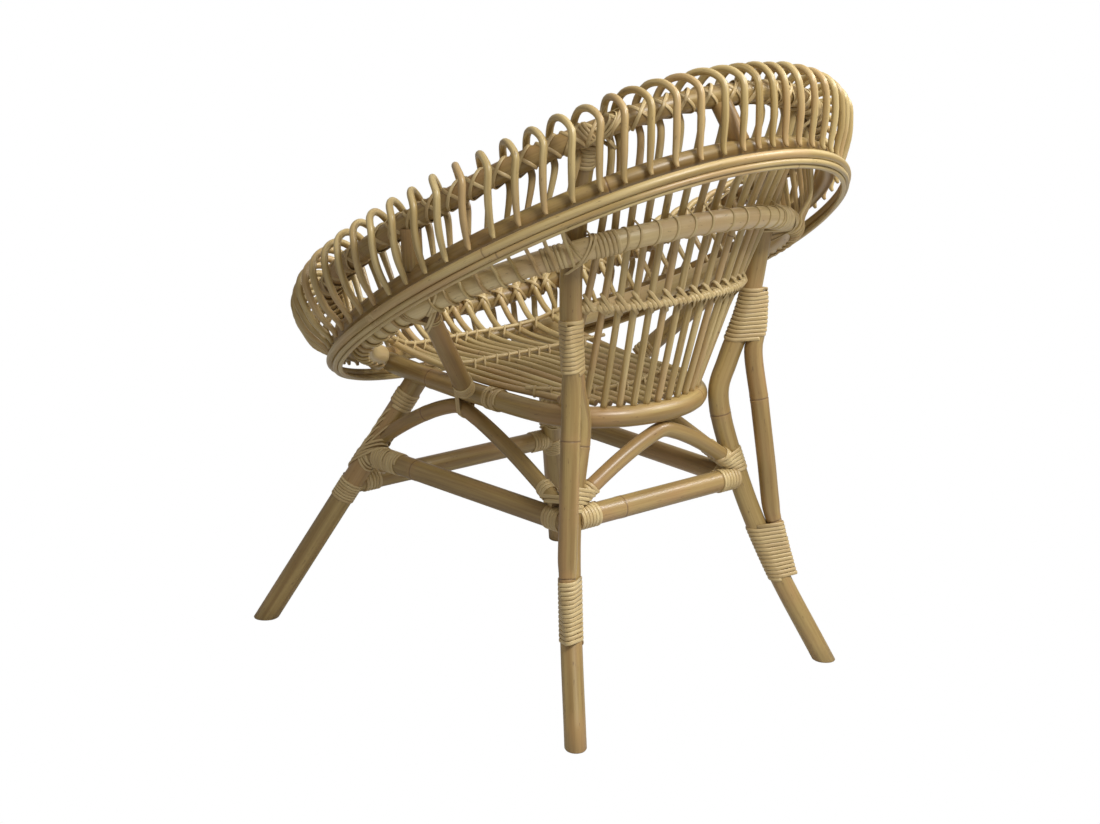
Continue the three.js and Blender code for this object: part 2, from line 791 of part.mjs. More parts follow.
function sideRodSolid(angle) {
  const fall = lowerRim.point(angle).sub(rim.point(angle));
  const shift = fall.dot(rim.outward(angle));
  const drop = fall.dot(rim.normal);
  const crowd = postCrowding * (angle / (rodPitch * sideRodCount / 2)) ** 2;
  const railAngle = angle * (angle < 0 ? frontRailLead : 1 - crowd);
  const railPoint = rail.point(railAngle);
  const out = rim.outward(angle);
  const toHoop = lowerRim.point(angle).sub(railPoint);
  const bearing = Math.atan2(toHoop.dot(rim.normal), toHoop.dot(out));
  const room = Math.hypot(toHoop.dot(rim.normal), toHoop.dot(out));
  const onHook = (reach, turn) => railPoint.clone()
    .addScaledVector(out, reach * Math.cos(turn))
    .addScaledVector(rim.normal, reach * Math.sin(turn));
  const between = (room - lowerRimRadius - hoopSag + railRadius + touchGap) / 2;
  const beside = lowerRimRadius + rodRadius + hoopSag + touchGap;
  const rings = rodLoop(angle).slice(0, -1);
  rings.push({ point: rim.offset(angle, shift - beside, drop + rodRadius), radius: rodRadius * 0.76 });
  rings.push({ point: onHook(between, bearing), radius: hookRadius });
  const nearStrut = Math.abs(angle - strutRailAngle) < rodPitch;
  const steps = nearStrut ? shortHookSteps : hookSteps;
  for (let step = 1; step <= steps; step += 1) {
    rings.push({ point: onHook(hookReach, bearing - step * hookStep), radius: hookRadius });
  }
  return rodSolid(angle, rings);
}

function sideRods(angles) {
  return join([...angles.map(sideRodSolid), lace(angles)]);
}

const sideAngles = rodAngles(sideRodCount, 0).map((angle, i) => (
  i === sideRodCount - 1 ? angle - rodBeatsPost : angle
));
const sideFront = sideRods(sideAngles.slice(0, sideRodCount / 2));
const sideRear = sideRods(sideAngles.slice(sideRodCount / 2));

// Strands round the rods' feet, each lying against the last
const bandUpperRadius = bandUpperDiameter / 2;
const bandMiddleRadius = bandMiddleDiameter / 2;
const bandLowerRadius = bandLowerDiameter / 2;
const bandUpperOut = footReach + footRadius + bandUpperRadius * 0.5;
const bandUpperRise = -footReach - bandUpperRadius * 1.2;
const bandMiddleStep = 0.95 * (bandUpperRadius + bandMiddleRadius) + touchGap;
const bandLowerStep = 0.9 * (bandMiddleRadius + bandLowerRadius) + touchGap;
const bandMiddleTurn = -111 * degree;
const bandLowerTurn = -148 * degree;
const bandMiddleOut = bandUpperOut + bandMiddleStep * Math.cos(bandMiddleTurn);
const bandMiddleRise = bandUpperRise + bandMiddleStep * Math.sin(bandMiddleTurn);
const bandLowerOut = bandMiddleOut + bandLowerStep * Math.cos(bandLowerTurn);
const bandLowerRise = bandMiddleRise + bandLowerStep * Math.sin(bandLowerTurn);
const bandUpper = hoopSolid(lowerRim, bandUpperOut, bandUpperRise, bandUpperRadius, 6);
const bandMiddle = hoopSolid(lowerRim, bandMiddleOut, bandMiddleRise, bandMiddleRadius, 5);
const bandLower = hoopSolid(lowerRim, bandLowerOut, bandLowerRise, bandLowerRadius, 4);

// Bindings: flat cane wound round a pole, or round a pole and what lies beside it

// members are { curve, radiusAt }, direction is along them, and the turns start at a distance from origin
function winding(name, members, origin, direction, start, turns) {
  const side = new THREE.Vector3(direction.y, -direction.x, 0).normalize();
  const other = direction.clone().cross(side);
  const clear = bindingSlack + caneThickness / 2;
  const swell = 1 / Math.cos(Math.PI / stepsInTurn);
  const rings = [];
  for (let step = 0; step <= turns * stepsInTurn; step += 1) {
    const turn = (2 * Math.PI * step) / stepsInTurn;
    const distance = start + (canePitch * step) / stepsInTurn;
    const outward = side.clone().multiplyScalar(Math.cos(turn)).addScaledVector(other, Math.sin(turn));
    const spots = members.map(({ curve, radiusAt }) => {
      const centre = crossing(curve, origin, direction, distance);
      return { centre, radius: radiusAt(centre.z) };
    });
    const reach = (spot) => spot.centre.dot(outward) + spot.radius;
    const spot = spots.reduce((best, next) => (reach(next) > reach(best) ? next : best));
    const middle = spot.centre.clone().addScaledVector(outward, (spot.radius + clear) * swell);
    rings.push([[1, 1], [-1, 1], [-1, -1], [1, -1]].map(([along, out]) => middle.clone()
      .addScaledVector(direction, (along * caneWidth) / 2)
      .addScaledVector(outward, (out * caneThickness) / 2)));
  }
  reportGap(name, rings);
  return toSolid(skinRings(rings, false));
}

// Least distance between the facing edges of neighbouring turns
function reportGap(name, rings) {
  let least = Infinity;
  for (let i = 0; i + stepsInTurn < rings.length; i += 1) {
    for (const near of [rings[i][0], rings[i][3]]) {
      for (const far of [rings[i + stepsInTurn][1], rings[i + stepsInTurn][2]]) {
        least = Math.min(least, near.distanceTo(far));
      }
    }
  }
  console.log(`${name}: least gap between turns ${least.toFixed(2)} mm`);
}

const postMember = { curve: postLine, radiusAt: postRadiusAt };
const braceMember = { curve: braceLine, radiusAt: braceRadiusAt };

function braceBinding(name, height, turns) {
  const origin = atHeight(postLine, height);
  const above = atHeight(postLine, height + turns * canePitch);
  const direction = above.sub(origin).normalize();
  return winding(name, [postMember, braceMember], origin, direction, 0, turns);
}

const footBinding = braceBinding('foot_binding', braceFootHeight + caneWidth / 2, 11);
const headBinding = braceBinding('head_binding', braceHead - 9.3 * canePitch, 9);

// Colours
const poleTan = { color: 0xa88a5c, roughness: 0.42, metalness: 0 };
const rodStraw = { color: 0xb9a878, roughness: 0.4, metalness: 0 };
const bindingStraw = { color: 0xc3ae7a, roughness: 0.45, metalness: 0 };

const chair = new THREE.Group();
chair.name = 'rattan_tub_chair';

function place(name, solid, finish) {
  const mesh = new THREE.Mesh(toGeometry(solid), new THREE.MeshStandardMaterial(finish));
  mesh.name = name;
  chair.add(mesh);
}

function placePair(name, solid, finish) {
  place(`${name}_left`, solid, finish);
  place(`${name}_right`, flip(solid), finish);
}

placePair('rear_post', postSolid, poleTan);
placePair('rear_brace', braceSolid, poleTan);
placePair('front_leg', legSolid, poleTan);
placePair('side_stretcher', sideStretcher, poleTan);
place('rear_stretcher', rearStretcher, poleTan);
place('front_stretcher', frontStretcher, poleTan);
placePair('side_arch', sideArch, poleTan);
place('rear_arch', rearArch, poleTan);
place('seat_pole', seatSolid, poleTan);
place('mid_rail', railSolid, poleTan);
placePair('arm_strut', strutSolid, poleTan);
place('upper_rim_hoop', rimSolid, poleTan);
place('lower_rim_hoop', lowerRimSolid, poleTan);
placePair('rim_spacer', spacer(13 * degree, 11 * degree), poleTan);
place('rim_spacer_rear', spacer(84 * degree, 86 * degree), poleTan);
place('rim_spacer_front', spacer(-90 * degree, -90 * degree), poleTan);
place('back_rods', backRods(), rodStraw);
place('seat_rods', seatRods(), rodStraw);
placePair('side_rods_front', sideFront, rodStraw);
placePair('side_rods_rear', sideRear, rodStraw);
place('band_strand_upper', bandUpper, rodStraw);
place('band_strand_middle', bandMiddle, rodStraw);
place('band_strand_lower', bandLower, rodStraw);
placePair('brace_foot_binding', footBinding, bindingStraw);
placePair('brace_head_binding', headBinding, bindingStraw);

export default chair;
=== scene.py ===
import math
import random

import bpy
from mathutils import Matrix, Vector


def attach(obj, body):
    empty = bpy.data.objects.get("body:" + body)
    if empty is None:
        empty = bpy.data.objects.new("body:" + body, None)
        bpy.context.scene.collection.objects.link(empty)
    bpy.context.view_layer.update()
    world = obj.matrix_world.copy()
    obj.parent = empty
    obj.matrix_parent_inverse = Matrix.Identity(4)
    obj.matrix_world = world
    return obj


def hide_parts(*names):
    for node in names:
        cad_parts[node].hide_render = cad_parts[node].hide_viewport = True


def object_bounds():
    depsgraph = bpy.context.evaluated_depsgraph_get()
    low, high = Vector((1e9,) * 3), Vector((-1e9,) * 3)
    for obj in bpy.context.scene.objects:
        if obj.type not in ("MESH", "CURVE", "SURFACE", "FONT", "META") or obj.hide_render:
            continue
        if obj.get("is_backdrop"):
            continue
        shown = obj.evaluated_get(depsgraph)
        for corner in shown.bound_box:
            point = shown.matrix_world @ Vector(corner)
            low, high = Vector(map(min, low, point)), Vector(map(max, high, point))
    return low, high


# Rattan tub chair. Sizes here are in millimetres, and mm turns them into metres as a mesh is made.
# +Z is up, the sitter faces -Y, +X is the sitter's left.

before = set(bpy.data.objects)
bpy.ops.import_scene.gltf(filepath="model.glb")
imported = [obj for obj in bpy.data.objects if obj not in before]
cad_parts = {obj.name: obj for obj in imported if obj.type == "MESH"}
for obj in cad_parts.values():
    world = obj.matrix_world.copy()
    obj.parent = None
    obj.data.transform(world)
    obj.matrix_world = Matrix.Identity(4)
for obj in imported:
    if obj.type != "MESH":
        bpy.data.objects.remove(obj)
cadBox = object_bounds()
mm = 0.001
tiny = 0.000001  # keeps a divisor above zero
touch = 0.3  # gap between a rod and the pole it lies against
slack = 0.6  # gap between two heavy poles
scene = bpy.context.scene
zAxis = Vector((0, 0, 1))


def degrees(*angles):
    turned = [math.radians(angle) for angle in angles]
    return turned if len(turned) > 1 else turned[0]


def mix(a, b, share):
    return a + (b - a) * share


def clamp(value, low=0.0, high=1.0):
    return max(low, min(high, value))


# The photograph's camera
view = {
    "azimuth": 139.76,  # degrees round the chair, from its rear left
    "elevation": 15.12,
    "distance": 2597.6,
    "target": (16.76, -20.83, 321.47),
    "roll": 0.25,
    "focal": 1961.75,  # in pixels of the photograph
    "photoWidth": 1100,
    "sensor": 36,
    "near": 0.05,  # metres
    "far": 60,
}


def addCamera():
    azimuth, elevation = degrees(view["azimuth"], view["elevation"])
    back = Vector((
        math.sin(azimuth) * math.cos(elevation),
        -math.cos(azimuth) * math.cos(elevation),
        math.sin(elevation),
    ))
    data = bpy.data.cameras.new("photoCamera")
    data.sensor_width = view["sensor"]
    data.lens = view["focal"] / view["photoWidth"] * view["sensor"]
    data.clip_start = view["near"]
    data.clip_end = view["far"]
    camera = bpy.data.objects.new("photoCamera", data)
    scene.collection.objects.link(camera)
    roll = Matrix.Rotation(math.radians(view["roll"]), 3, "Z").to_quaternion()
    camera.rotation_mode = "QUATERNION"
    camera.rotation_quaternion = (-back).to_track_quat("-Z", "Y") @ roll
    camera.location = (Vector(view["target"]) + back * view["distance"]) * mm
    scene.camera = camera


addCamera()
print("camera placed")

# Floor, room light and lamps
studio = {
    "floorColour": (0.5, 0.5, 0.5),
    "floorRoughness": 0.9,
    "floorSize": 40,  # metres
    "roomLight": 0.39,
    "roomColour": (1, 0.96, 0.9),
    "lamps": {  # place and size in metres, watts
        "overheadLamp": ((-0.3, 0.4, 2.7), 1.2, 7),
        "keyLamp": ((0.2, 2.1, 2.5), 0.9, 58),
        "sideLamp": ((-1.0, 0.85, 1.6), 0.6, 17),
    },
    "lampAim": (0, 0, 0.4),
}


def whiteToCamera(tree, white, others, output):
    # white for the camera, others for the rays that light the chair
    path = tree.nodes.new("ShaderNodeLightPath")
    blend = tree.nodes.new("ShaderNodeMixShader")
    tree.links.new(path.outputs["Is Camera Ray"], blend.inputs["Fac"])
    tree.links.new(others.outputs[0], blend.inputs[1])
    tree.links.new(white.outputs[0], blend.inputs[2])
    tree.links.new(blend.outputs[0], tree.nodes[output].inputs["Surface"])


def addFloor():
    half = studio["floorSize"] / 2
    corners = [(-half, -half, 0), (half, -half, 0), (half, half, 0), (-half, half, 0)]
    mesh = bpy.data.meshes.new("floor")
    mesh.from_pydata(corners, [], [(0, 1, 2, 3)])
    floor = bpy.data.objects.new("floor", mesh)
    scene.collection.objects.link(floor)
    floor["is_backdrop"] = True
    pale = bpy.data.materials.new("paleFloor")
    pale.use_nodes = True
    surface = pale.node_tree.nodes["Principled BSDF"]
    surface.inputs["Base Color"].default_value = (*studio["floorColour"], 1)
    surface.inputs["Roughness"].default_value = studio["floorRoughness"]
    glow = pale.node_tree.nodes.new("ShaderNodeEmission")
    whiteToCamera(pale.node_tree, glow, surface, "Material Output")
    mesh.materials.append(pale)


def addRoom():
    room = bpy.data.worlds.new("softRoom")
    room.use_nodes = True
    light = room.node_tree.nodes["Background"]
    light.inputs["Color"].default_value = (*studio["roomColour"], 1)
    light.inputs["Strength"].default_value = studio["roomLight"]
    white = room.node_tree.nodes.new("ShaderNodeBackground")
    white.inputs["Color"].default_value = (1, 1, 1, 1)
    whiteToCamera(room.node_tree, white, light, "World Output")
    scene.world = room


def addLamp(name, place, size, watts):
    data = bpy.data.lights.new(name, "AREA")
    data.shape = "DISK"
    data.size = size
    data.energy = watts
    lamp = bpy.data.objects.new(name, data)
    lamp.location = place
    lamp.rotation_mode = "QUATERNION"
    lamp.rotation_quaternion = (Vector(studio["lampAim"]) - Vector(place)).to_track_quat("-Z", "Y")
    scene.collection.objects.link(lamp)


addFloor()
addRoom()
for name, (place, size, watts) in studio["lamps"].items():
    addLamp(name, place, size, watts)
scene.view_settings.view_transform = "Standard"
print("studio ready")

# Finishes. A mesh carries three attributes: "grain" is the place in the pole as if it were straight, in
# millimetres with z along it, "tone" sets one pole off from the next, and "knot" is the distance in
# millimetres to the nearest growth ring. "fibre" and "streak" are scales of noise across and along the grain.
finishes = {
    "pole": {
        "pale": (0.445, 0.32, 0.12), "deep": (0.228, 0.136, 0.04), "blush": (0.385, 0.227, 0.09),
        "ring": (0.13, 0.07, 0.03), "fibre": (0.75, 0.75, 0.009), "streak": (0.1, 0.1, 0.0035),
        "roughness": (0.34, 0.5), "bump": 0.35, "coat": 0.25,
    },
    "straw": {
        "pale": (0.715, 0.57, 0.29), "deep": (0.485, 0.345, 0.15), "blush": (0.555, 0.385, 0.195),
        "ring": (0.15, 0.08, 0.035), "fibre": (0.75, 0.75, 0.009), "streak": (0.1, 0.1, 0.0035),
        "roughness": (0.3, 0.46), "bump": 0.3, "coat": 0.3,
    },
    "rod": {
        "pale": (0.625, 0.49, 0.232), "deep": (0.343, 0.232, 0.078), "blush": (0.475, 0.31, 0.14),
        "ring": (0.17, 0.1, 0.04), "fibre": (0.9, 0.9, 0.012), "streak": (0.16, 0.16, 0.005),
        "roughness": (0.34, 0.48), "bump": 0.3, "coat": 0.2,
    },
    "cane": {
        "pale": (0.645, 0.51, 0.262), "deep": (0.433, 0.307, 0.13), "blush": (0.473, 0.336, 0.158),
        "ring": (0.3, 0.18, 0.08), "fibre": (1.6, 1.6, 0.02), "streak": (0.4, 0.4, 0.012),
        "roughness": (0.38, 0.52), "bump": 0.35, "coat": 0.1,
    },
}
# What the finishes share; "patch" and "scar" are scales of noise too. A span is a range of noise, or of the
# distance from a growth ring, and the range that it becomes.
rattan = {
    "patch": (0.02, 0.02, 0.0065), "patchSpan": (0.48, 0.62, 0, 0.75),
    "scar": (0.35, 0.35, 0.09), "scarSpan": (0.66, 0.73, 0, 0.6),
    "streakSpan": (0.38, 0.64, 0, 0.72), "toneShare": 0.32,
    "fibreSpan": (0.42, 0.66, 0, 0.3), "fibreShare": 0.5, "sheenSpan": (0.3, 0.7),
    "ringGlowSpan": (2, 14, 0.3, 0), "ringSpan": (0.3, 1.4, 0.7, 0), "grooveSpan": (0.2, 1.2, 0.5, 0),
    "noiseRoughness": 0.6, "relief": 0.0006, "coatRoughness": 0.28,
}
cutEnd = {
    "wood": (0.36, 0.25, 0.13), "shade": 0.7, "pore": (0.13, 0.075, 0.035), "pores": (1.1, 1.1, 0.22),
    "rings": (0.12, 0.12, 0.05), "ringSpan": (0.35, 0.65), "poreSpan": (0.5, 0.62, 0, 0.85),
    "roughness": 0.75, "bump": 0.5, "relief": 0.0004,
}


class Nodes:
    # short calls for a material's node tree
    def __init__(self, material):
        material.use_nodes = True
        self.tree = material.node_tree
        self.shader = self.tree.nodes["Principled BSDF"]

    def add(self, kind, **inputs):
        node = self.tree.nodes.new("ShaderNode" + kind)
        for name, value in inputs.items():
            self.put(node.inputs[name], value)
        return node

    def put(self, socket, value):
        if isinstance(value, bpy.types.NodeSocket):
            self.tree.links.new(value, socket)
        else:
            socket.default_value = value

    def attribute(self, name, output="Fac"):
        node = self.add("Attribute")
        node.attribute_name = name
        return node.outputs[output]

    def noise(self, place, scale, detail, shift=0.0):
        scaled = self.add("Mapping", Vector=place, Scale=scale, Location=(shift, shift, shift))
        node = self.add("TexNoise", Vector=scaled.outputs[0], Scale=1.0, Detail=detail)
        node.inputs["Roughness"].default_value = rattan["noiseRoughness"]
        return node.outputs["Fac"]

    def span(self, value, low, high, start=0.0, end=1.0):
        node = self.add("MapRange", Value=value)
        node.clamp = True
        for name, number in (("From Min", low), ("From Max", high), ("To Min", start), ("To Max", end)):
            node.inputs[name].default_value = number
        return node.outputs[0]

    def math(self, operation, a, b=0.0):
        node = self.add("Math")
        node.operation = operation
        self.put(node.inputs[0], a)
        self.put(node.inputs[1], b)
        return node.outputs[0]

    def colour(self, share, a, b):
        node = self.add("Mix")
        node.data_type = "RGBA"
        self.put(node.inputs["Factor"], share)
        for socket, value in zip([s for s in node.inputs if s.type == "RGBA"], (a, b)):
            self.put(socket, (*value, 1) if isinstance(value, tuple) else value)
        return [s for s in node.outputs if s.type == "RGBA"][0]


def rattanFinish(name, look):
    material = bpy.data.materials.new(name)
    nodes = Nodes(material)
    grain = nodes.attribute("grain", "Vector")
    tone = nodes.attribute("tone")
    knot = nodes.math("ABSOLUTE", nodes.attribute("knot"))
    fibre = nodes.noise(grain, look["fibre"], detail=4)
    streak = nodes.noise(grain, look["streak"], detail=3, shift=7)
    patch = nodes.noise(grain, rattan["patch"], detail=2, shift=13)
    scar = nodes.noise(grain, rattan["scar"], detail=2, shift=31)

    shade = nodes.math("MULTIPLY", tone, rattan["toneShare"])
    depth = nodes.math("ADD", nodes.span(streak, *rattan["streakSpan"]), shade)
    body = nodes.colour(depth, look["pale"], look["deep"])
    body = nodes.colour(nodes.span(patch, *rattan["patchSpan"]), body, look["blush"])
    body = nodes.colour(nodes.span(fibre, *rattan["fibreSpan"]), body, look["deep"])
    body = nodes.colour(nodes.span(scar, *rattan["scarSpan"]), body, look["ring"])
    body = nodes.colour(nodes.span(knot, *rattan["ringGlowSpan"]), body, look["blush"])
    body = nodes.colour(nodes.span(knot, *rattan["ringSpan"]), body, look["ring"])
    nodes.put(nodes.shader.inputs["Base Color"], body)

    sheen = nodes.span(fibre, *rattan["sheenSpan"], *look["roughness"])
    nodes.put(nodes.shader.inputs["Roughness"], sheen)
    fibres = nodes.math("MULTIPLY", fibre, rattan["fibreShare"])
    height = nodes.math("SUBTRACT", fibres, nodes.span(knot, *rattan["grooveSpan"]))
    relief = nodes.add("Bump", Height=height, Strength=look["bump"], Distance=rattan["relief"])
    nodes.put(nodes.shader.inputs["Normal"], relief.outputs[0])
    nodes.shader.inputs["Coat Weight"].default_value = look["coat"]
    nodes.shader.inputs["Coat Roughness"].default_value = rattan["coatRoughness"]
    return material


def endFinish(name):
    material = bpy.data.materials.new(name)
    nodes = Nodes(material)
    grain = nodes.attribute("grain", "Vector")
    pores = nodes.noise(grain, cutEnd["pores"], detail=2)
    rings = nodes.noise(grain, cutEnd["rings"], detail=2, shift=5)
    shaded = tuple(cutEnd["shade"] * c for c in cutEnd["wood"])
    body = nodes.colour(nodes.span(rings, *cutEnd["ringSpan"]), cutEnd["wood"], shaded)
    body = nodes.colour(nodes.span(pores, *cutEnd["poreSpan"]), body, cutEnd["pore"])
    nodes.put(nodes.shader.inputs["Base Color"], body)
    nodes.shader.inputs["Roughness"].default_value = cutEnd["roughness"]
    relief = nodes.add("Bump", Height=pores, Strength=cutEnd["bump"], Distance=cutEnd["relief"])
    nodes.put(nodes.shader.inputs["Normal"], relief.outputs[0])
    return material


materials = {name: rattanFinish(name + "Rattan", look) for name, look in finishes.items()}
materials["end"] = endFinish("cutEnd")
print("finishes ready")


# Curves
def spline(points, step):
    # smooth curve through the points; gives places and how far along the list of points each one is
    led = [points[0] * 2 - points[1], *points, points[-1] * 2 - points[-2]]
    places, marks = [], []
    for i in range(len(points) - 1):
        p0, p1, p2, p3 = led[i:i + 4]
        d0, d1, d2 = (max((b - a).length, tiny) ** 0.5 for a, b in ((p0, p1), (p1, p2), (p2, p3)))
        t1 = ((p1 - p0) / d0 - (p2 - p0) / (d0 + d1) + (p2 - p1) / d1) * d1
        t2 = ((p2 - p1) / d1 - (p3 - p1) / (d1 + d2) + (p3 - p2) / d2) * d1
        pieces = max(2, round((p2 - p1).length / step))
        for piece in range(pieces):
            t = piece / pieces
            bend = (-3 * p1 + 3 * p2 - 2 * t1 - t2) * t * t
            places.append(p1 + t1 * t + bend + (2 * p1 - 2 * p2 + t1 + t2) * t ** 3)
            marks.append(i + t)
    places.append(points[-1].copy())
    marks.append(len(points) - 1)
    return places, marks


def atMark(values, mark):
    low = int(mark)
    high = min(low + 1, len(values) - 1)
    return mix(values[low], values[high], mark - low)


def crossing(places, height):
    # where a track passes a height
    for a, b in zip(places, places[1:]):
        if (a.z - height) * (b.z - height) <= 0 and a.z != b.z:
            return a.lerp(b, (height - a.z) / (b.z - a.z))
    return min(places, key=lambda p: abs(p.z - height)).copy()


def mirror(point):
    return Vector((-point.x, point.y, point.z))


def between(a, b, shares):
    return Vector(mix(a[i], b[i], shares[i]) for i in range(3))


sagging = {"middle": 24, "reach": 60}  # degrees back from the widest place


class Ellipse:
    # a hoop's centre line in a plane tilted about X; its sides may sag below the plane and its front may lift
    def __init__(self, centre, halfWidth, rearDepth, frontDepth, tilt, sag=0.0, lift=0.0):
        self.lift = lift
        self.centre = centre
        self.size = (halfWidth, rearDepth, frontDepth)
        self.sag = sag
        self.back = Vector((0, math.cos(tilt), math.sin(tilt)))
        self.normal = Vector((0, -math.sin(tilt), math.cos(tilt)))

    def depth(self, angle):
        return self.size[1] if math.sin(angle) > 0 else self.size[2]

    def outward(self, angle):
        across = Vector((math.cos(angle) * self.depth(angle), 0, 0))
        return (across + self.back * (math.sin(angle) * self.size[0])).normalized()

    def along(self, angle):
        return self.normal.cross(self.outward(angle))

    def point(self, angle, out=0.0, rise=0.0):
        place = self.centre + Vector((self.size[0] * math.cos(angle), 0, 0))
        place = place + self.back * (self.depth(angle) * math.sin(angle))
        side = math.atan2(math.sin(angle), abs(math.cos(angle)))
        away = min(abs(side - degrees(sagging["middle"])) / degrees(sagging["reach"]), 1)
        dip = self.sag * math.cos(away * math.pi / 2) ** 2
        up = self.lift * clamp(-math.sin(angle)) ** 2
        return place + self.outward(angle) * out + self.normal * (rise - dip + up)


# Meshes
# A mirrored piece takes its grain and tone from elsewhere
otherSide = {"grain": (400, 170, 90), "toneTimes": 1.7, "tonePlus": 0.31}


def newShape():
    return {"verts": [], "faces": [], "ends": [], "grain": [], "tone": [], "knot": []}


def flipped(shape):
    return {
        "verts": [mirror(v) for v in shape["verts"]],
        "faces": [tuple(reversed(face)) for face in shape["faces"]],
        "ends": list(shape["ends"]),
        "grain": [g + Vector(otherSide["grain"]) for g in shape["grain"]],
        "tone": [(t * otherSide["toneTimes"] + otherSide["tonePlus"]) % 1.0 for t in shape["tone"]],
        "knot": list(shape["knot"]),
    }


def makePiece(name, shape, finish, *nodes):
    mesh = bpy.data.meshes.new(name)
    mesh.from_pydata([v * mm for v in shape["verts"]], [], shape["faces"])
    mesh.materials.append(materials[finish])
    mesh.materials.append(materials["end"])
    for key, kind in (("grain", "FLOAT_VECTOR"), ("tone", "FLOAT"), ("knot", "FLOAT")):
        layer = mesh.attributes.new(key, kind, "POINT")
        values = [c for g in shape[key] for c in g] if key == "grain" else shape[key]
        layer.data.foreach_set("vector" if key == "grain" else "value", values)
    ends = shape["ends"]
    mesh.polygons.foreach_set("use_smooth", [not end for end in ends])
    mesh.polygons.foreach_set("material_index", [int(end) for end in ends])
    piece = bpy.data.objects.new(name, mesh)
    scene.collection.objects.link(piece)
    if nodes:
        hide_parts(*nodes)
    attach(piece, "root")


def makePair(name, shape, finish, *nodes):
    makePiece(name + "Left", shape, finish, *[node + "_left" for node in nodes])
    makePiece(name + "Right", flipped(shape), finish, *[node + "_right" for node in nodes])


def skin(shape, rings, closed):
    # rings are (places, grains, tone, knot), all with the same number of places
    sides = len(rings[0][0])
    first = len(shape["verts"])
    for places, grains, tone, knot in rings:
        shape["verts"] += places
        shape["grain"] += grains
        shape["tone"] += [tone] * sides
        shape["knot"] += [knot] * sides
    for bay in range(len(rings) if closed else len(rings) - 1):
        here = first + bay * sides
        there = first + ((bay + 1) % len(rings)) * sides
        for side in range(sides):
            turn = (side + 1) % sides
            shape["faces"].append((here + side, here + turn, there + turn, there + side))
            shape["ends"].append(False)
    if not closed:
        last = first + (len(rings) - 1) * sides
        shape["faces"].append(tuple(first + side for side in reversed(range(sides))))
        shape["faces"].append(tuple(last + side for side in range(sides)))
        shape["ends"] += [True, True]


# Growth rings, and the grain of a pole
growth = {
    "steps": (-7, -3, -1.1, 0, 1.1, 3, 7),  # sections round a ring
    "swellShare": 0.035, "swellReach": 4.5, "grooveShare": 0.05, "grooveReach": 0.9, "far": 60.0,
    "firstShares": (0.2, 0.9), "gapShares": (0.75, 1.25), "ringToEnd": 12, "sectionToEnd": 1,
}
grainRoom = (300, 300, 3000)  # a pole's grain starts anywhere in this
poleEnd = {
    "rounding": 0.5, "leastShare": 0.5,
    "floorChamfer": 1.2, "floorStep": 1.4, "floorGrain": 1, "floorClearShare": 1.6,
}


def ringPlaces(length, gap, chance):
    knots = []
    stop = chance.uniform(*growth["firstShares"]) * gap
    while stop < length - growth["ringToEnd"]:
        knots.append(stop)
        stop += gap * chance.uniform(*growth["gapShares"])
    return knots


def somewhereInGrain(chance):
    return Vector([chance.uniform(0, room) for room in grainRoom])


def withKnots(places, radii, knots):
    # adds sections round each growth ring and swells it; knots are distances along the pole
    run = [0.0]
    for a, b in zip(places, places[1:]):
        run.append(run[-1] + (b - a).length)
    extra = {knot + step for knot in knots for step in growth["steps"]}
    margin = growth["sectionToEnd"]
    stops = sorted(set(run) | {stop for stop in extra if margin < stop < run[-1] - margin})
    newPlaces, newRadii, gaps, i = [], [], [], 0
    for stop in stops:
        while i < len(run) - 2 and run[i + 1] < stop:
            i += 1
        share = (stop - run[i]) / max(run[i + 1] - run[i], tiny)
        gap = min((stop - knot for knot in knots), key=abs, default=growth["far"])
        swell = growth["swellShare"] * math.exp(-(gap / growth["swellReach"]) ** 2)
        swell -= growth["grooveShare"] * math.exp(-(gap / growth["grooveReach"]) ** 2)
        newPlaces.append(places[i].lerp(places[i + 1], share))
        newRadii.append(mix(radii[i], radii[i + 1], share) * (1 + swell))
        gaps.append(clamp(gap, -growth["far"], growth["far"]))
    return newPlaces, newRadii, gaps, stops


def carriedFrames(places, closed):
    # the pole's direction at each place, two arms square to it, and the twist that closes a hoop
    count = len(places)
    tangents = []
    for i in range(count):
        before = places[i - 1] if i or closed else places[i]
        after = places[(i + 1) % count] if i < count - 1 or closed else places[i]
        tangents.append((after - before).normalized())
    side = tangents[0].orthogonal().normalized()
    frames = []
    for tangent in tangents:
        side = (side - tangent * side.dot(tangent)).normalized()
        frames.append((side, tangent.cross(side)))
    twist = 0.0
    if closed:
        back = (side - tangents[0] * side.dot(tangents[0])).normalized()
        twist = -math.atan2(back.dot(frames[0][1]), back.dot(frames[0][0]))
    return tangents, frames, twist


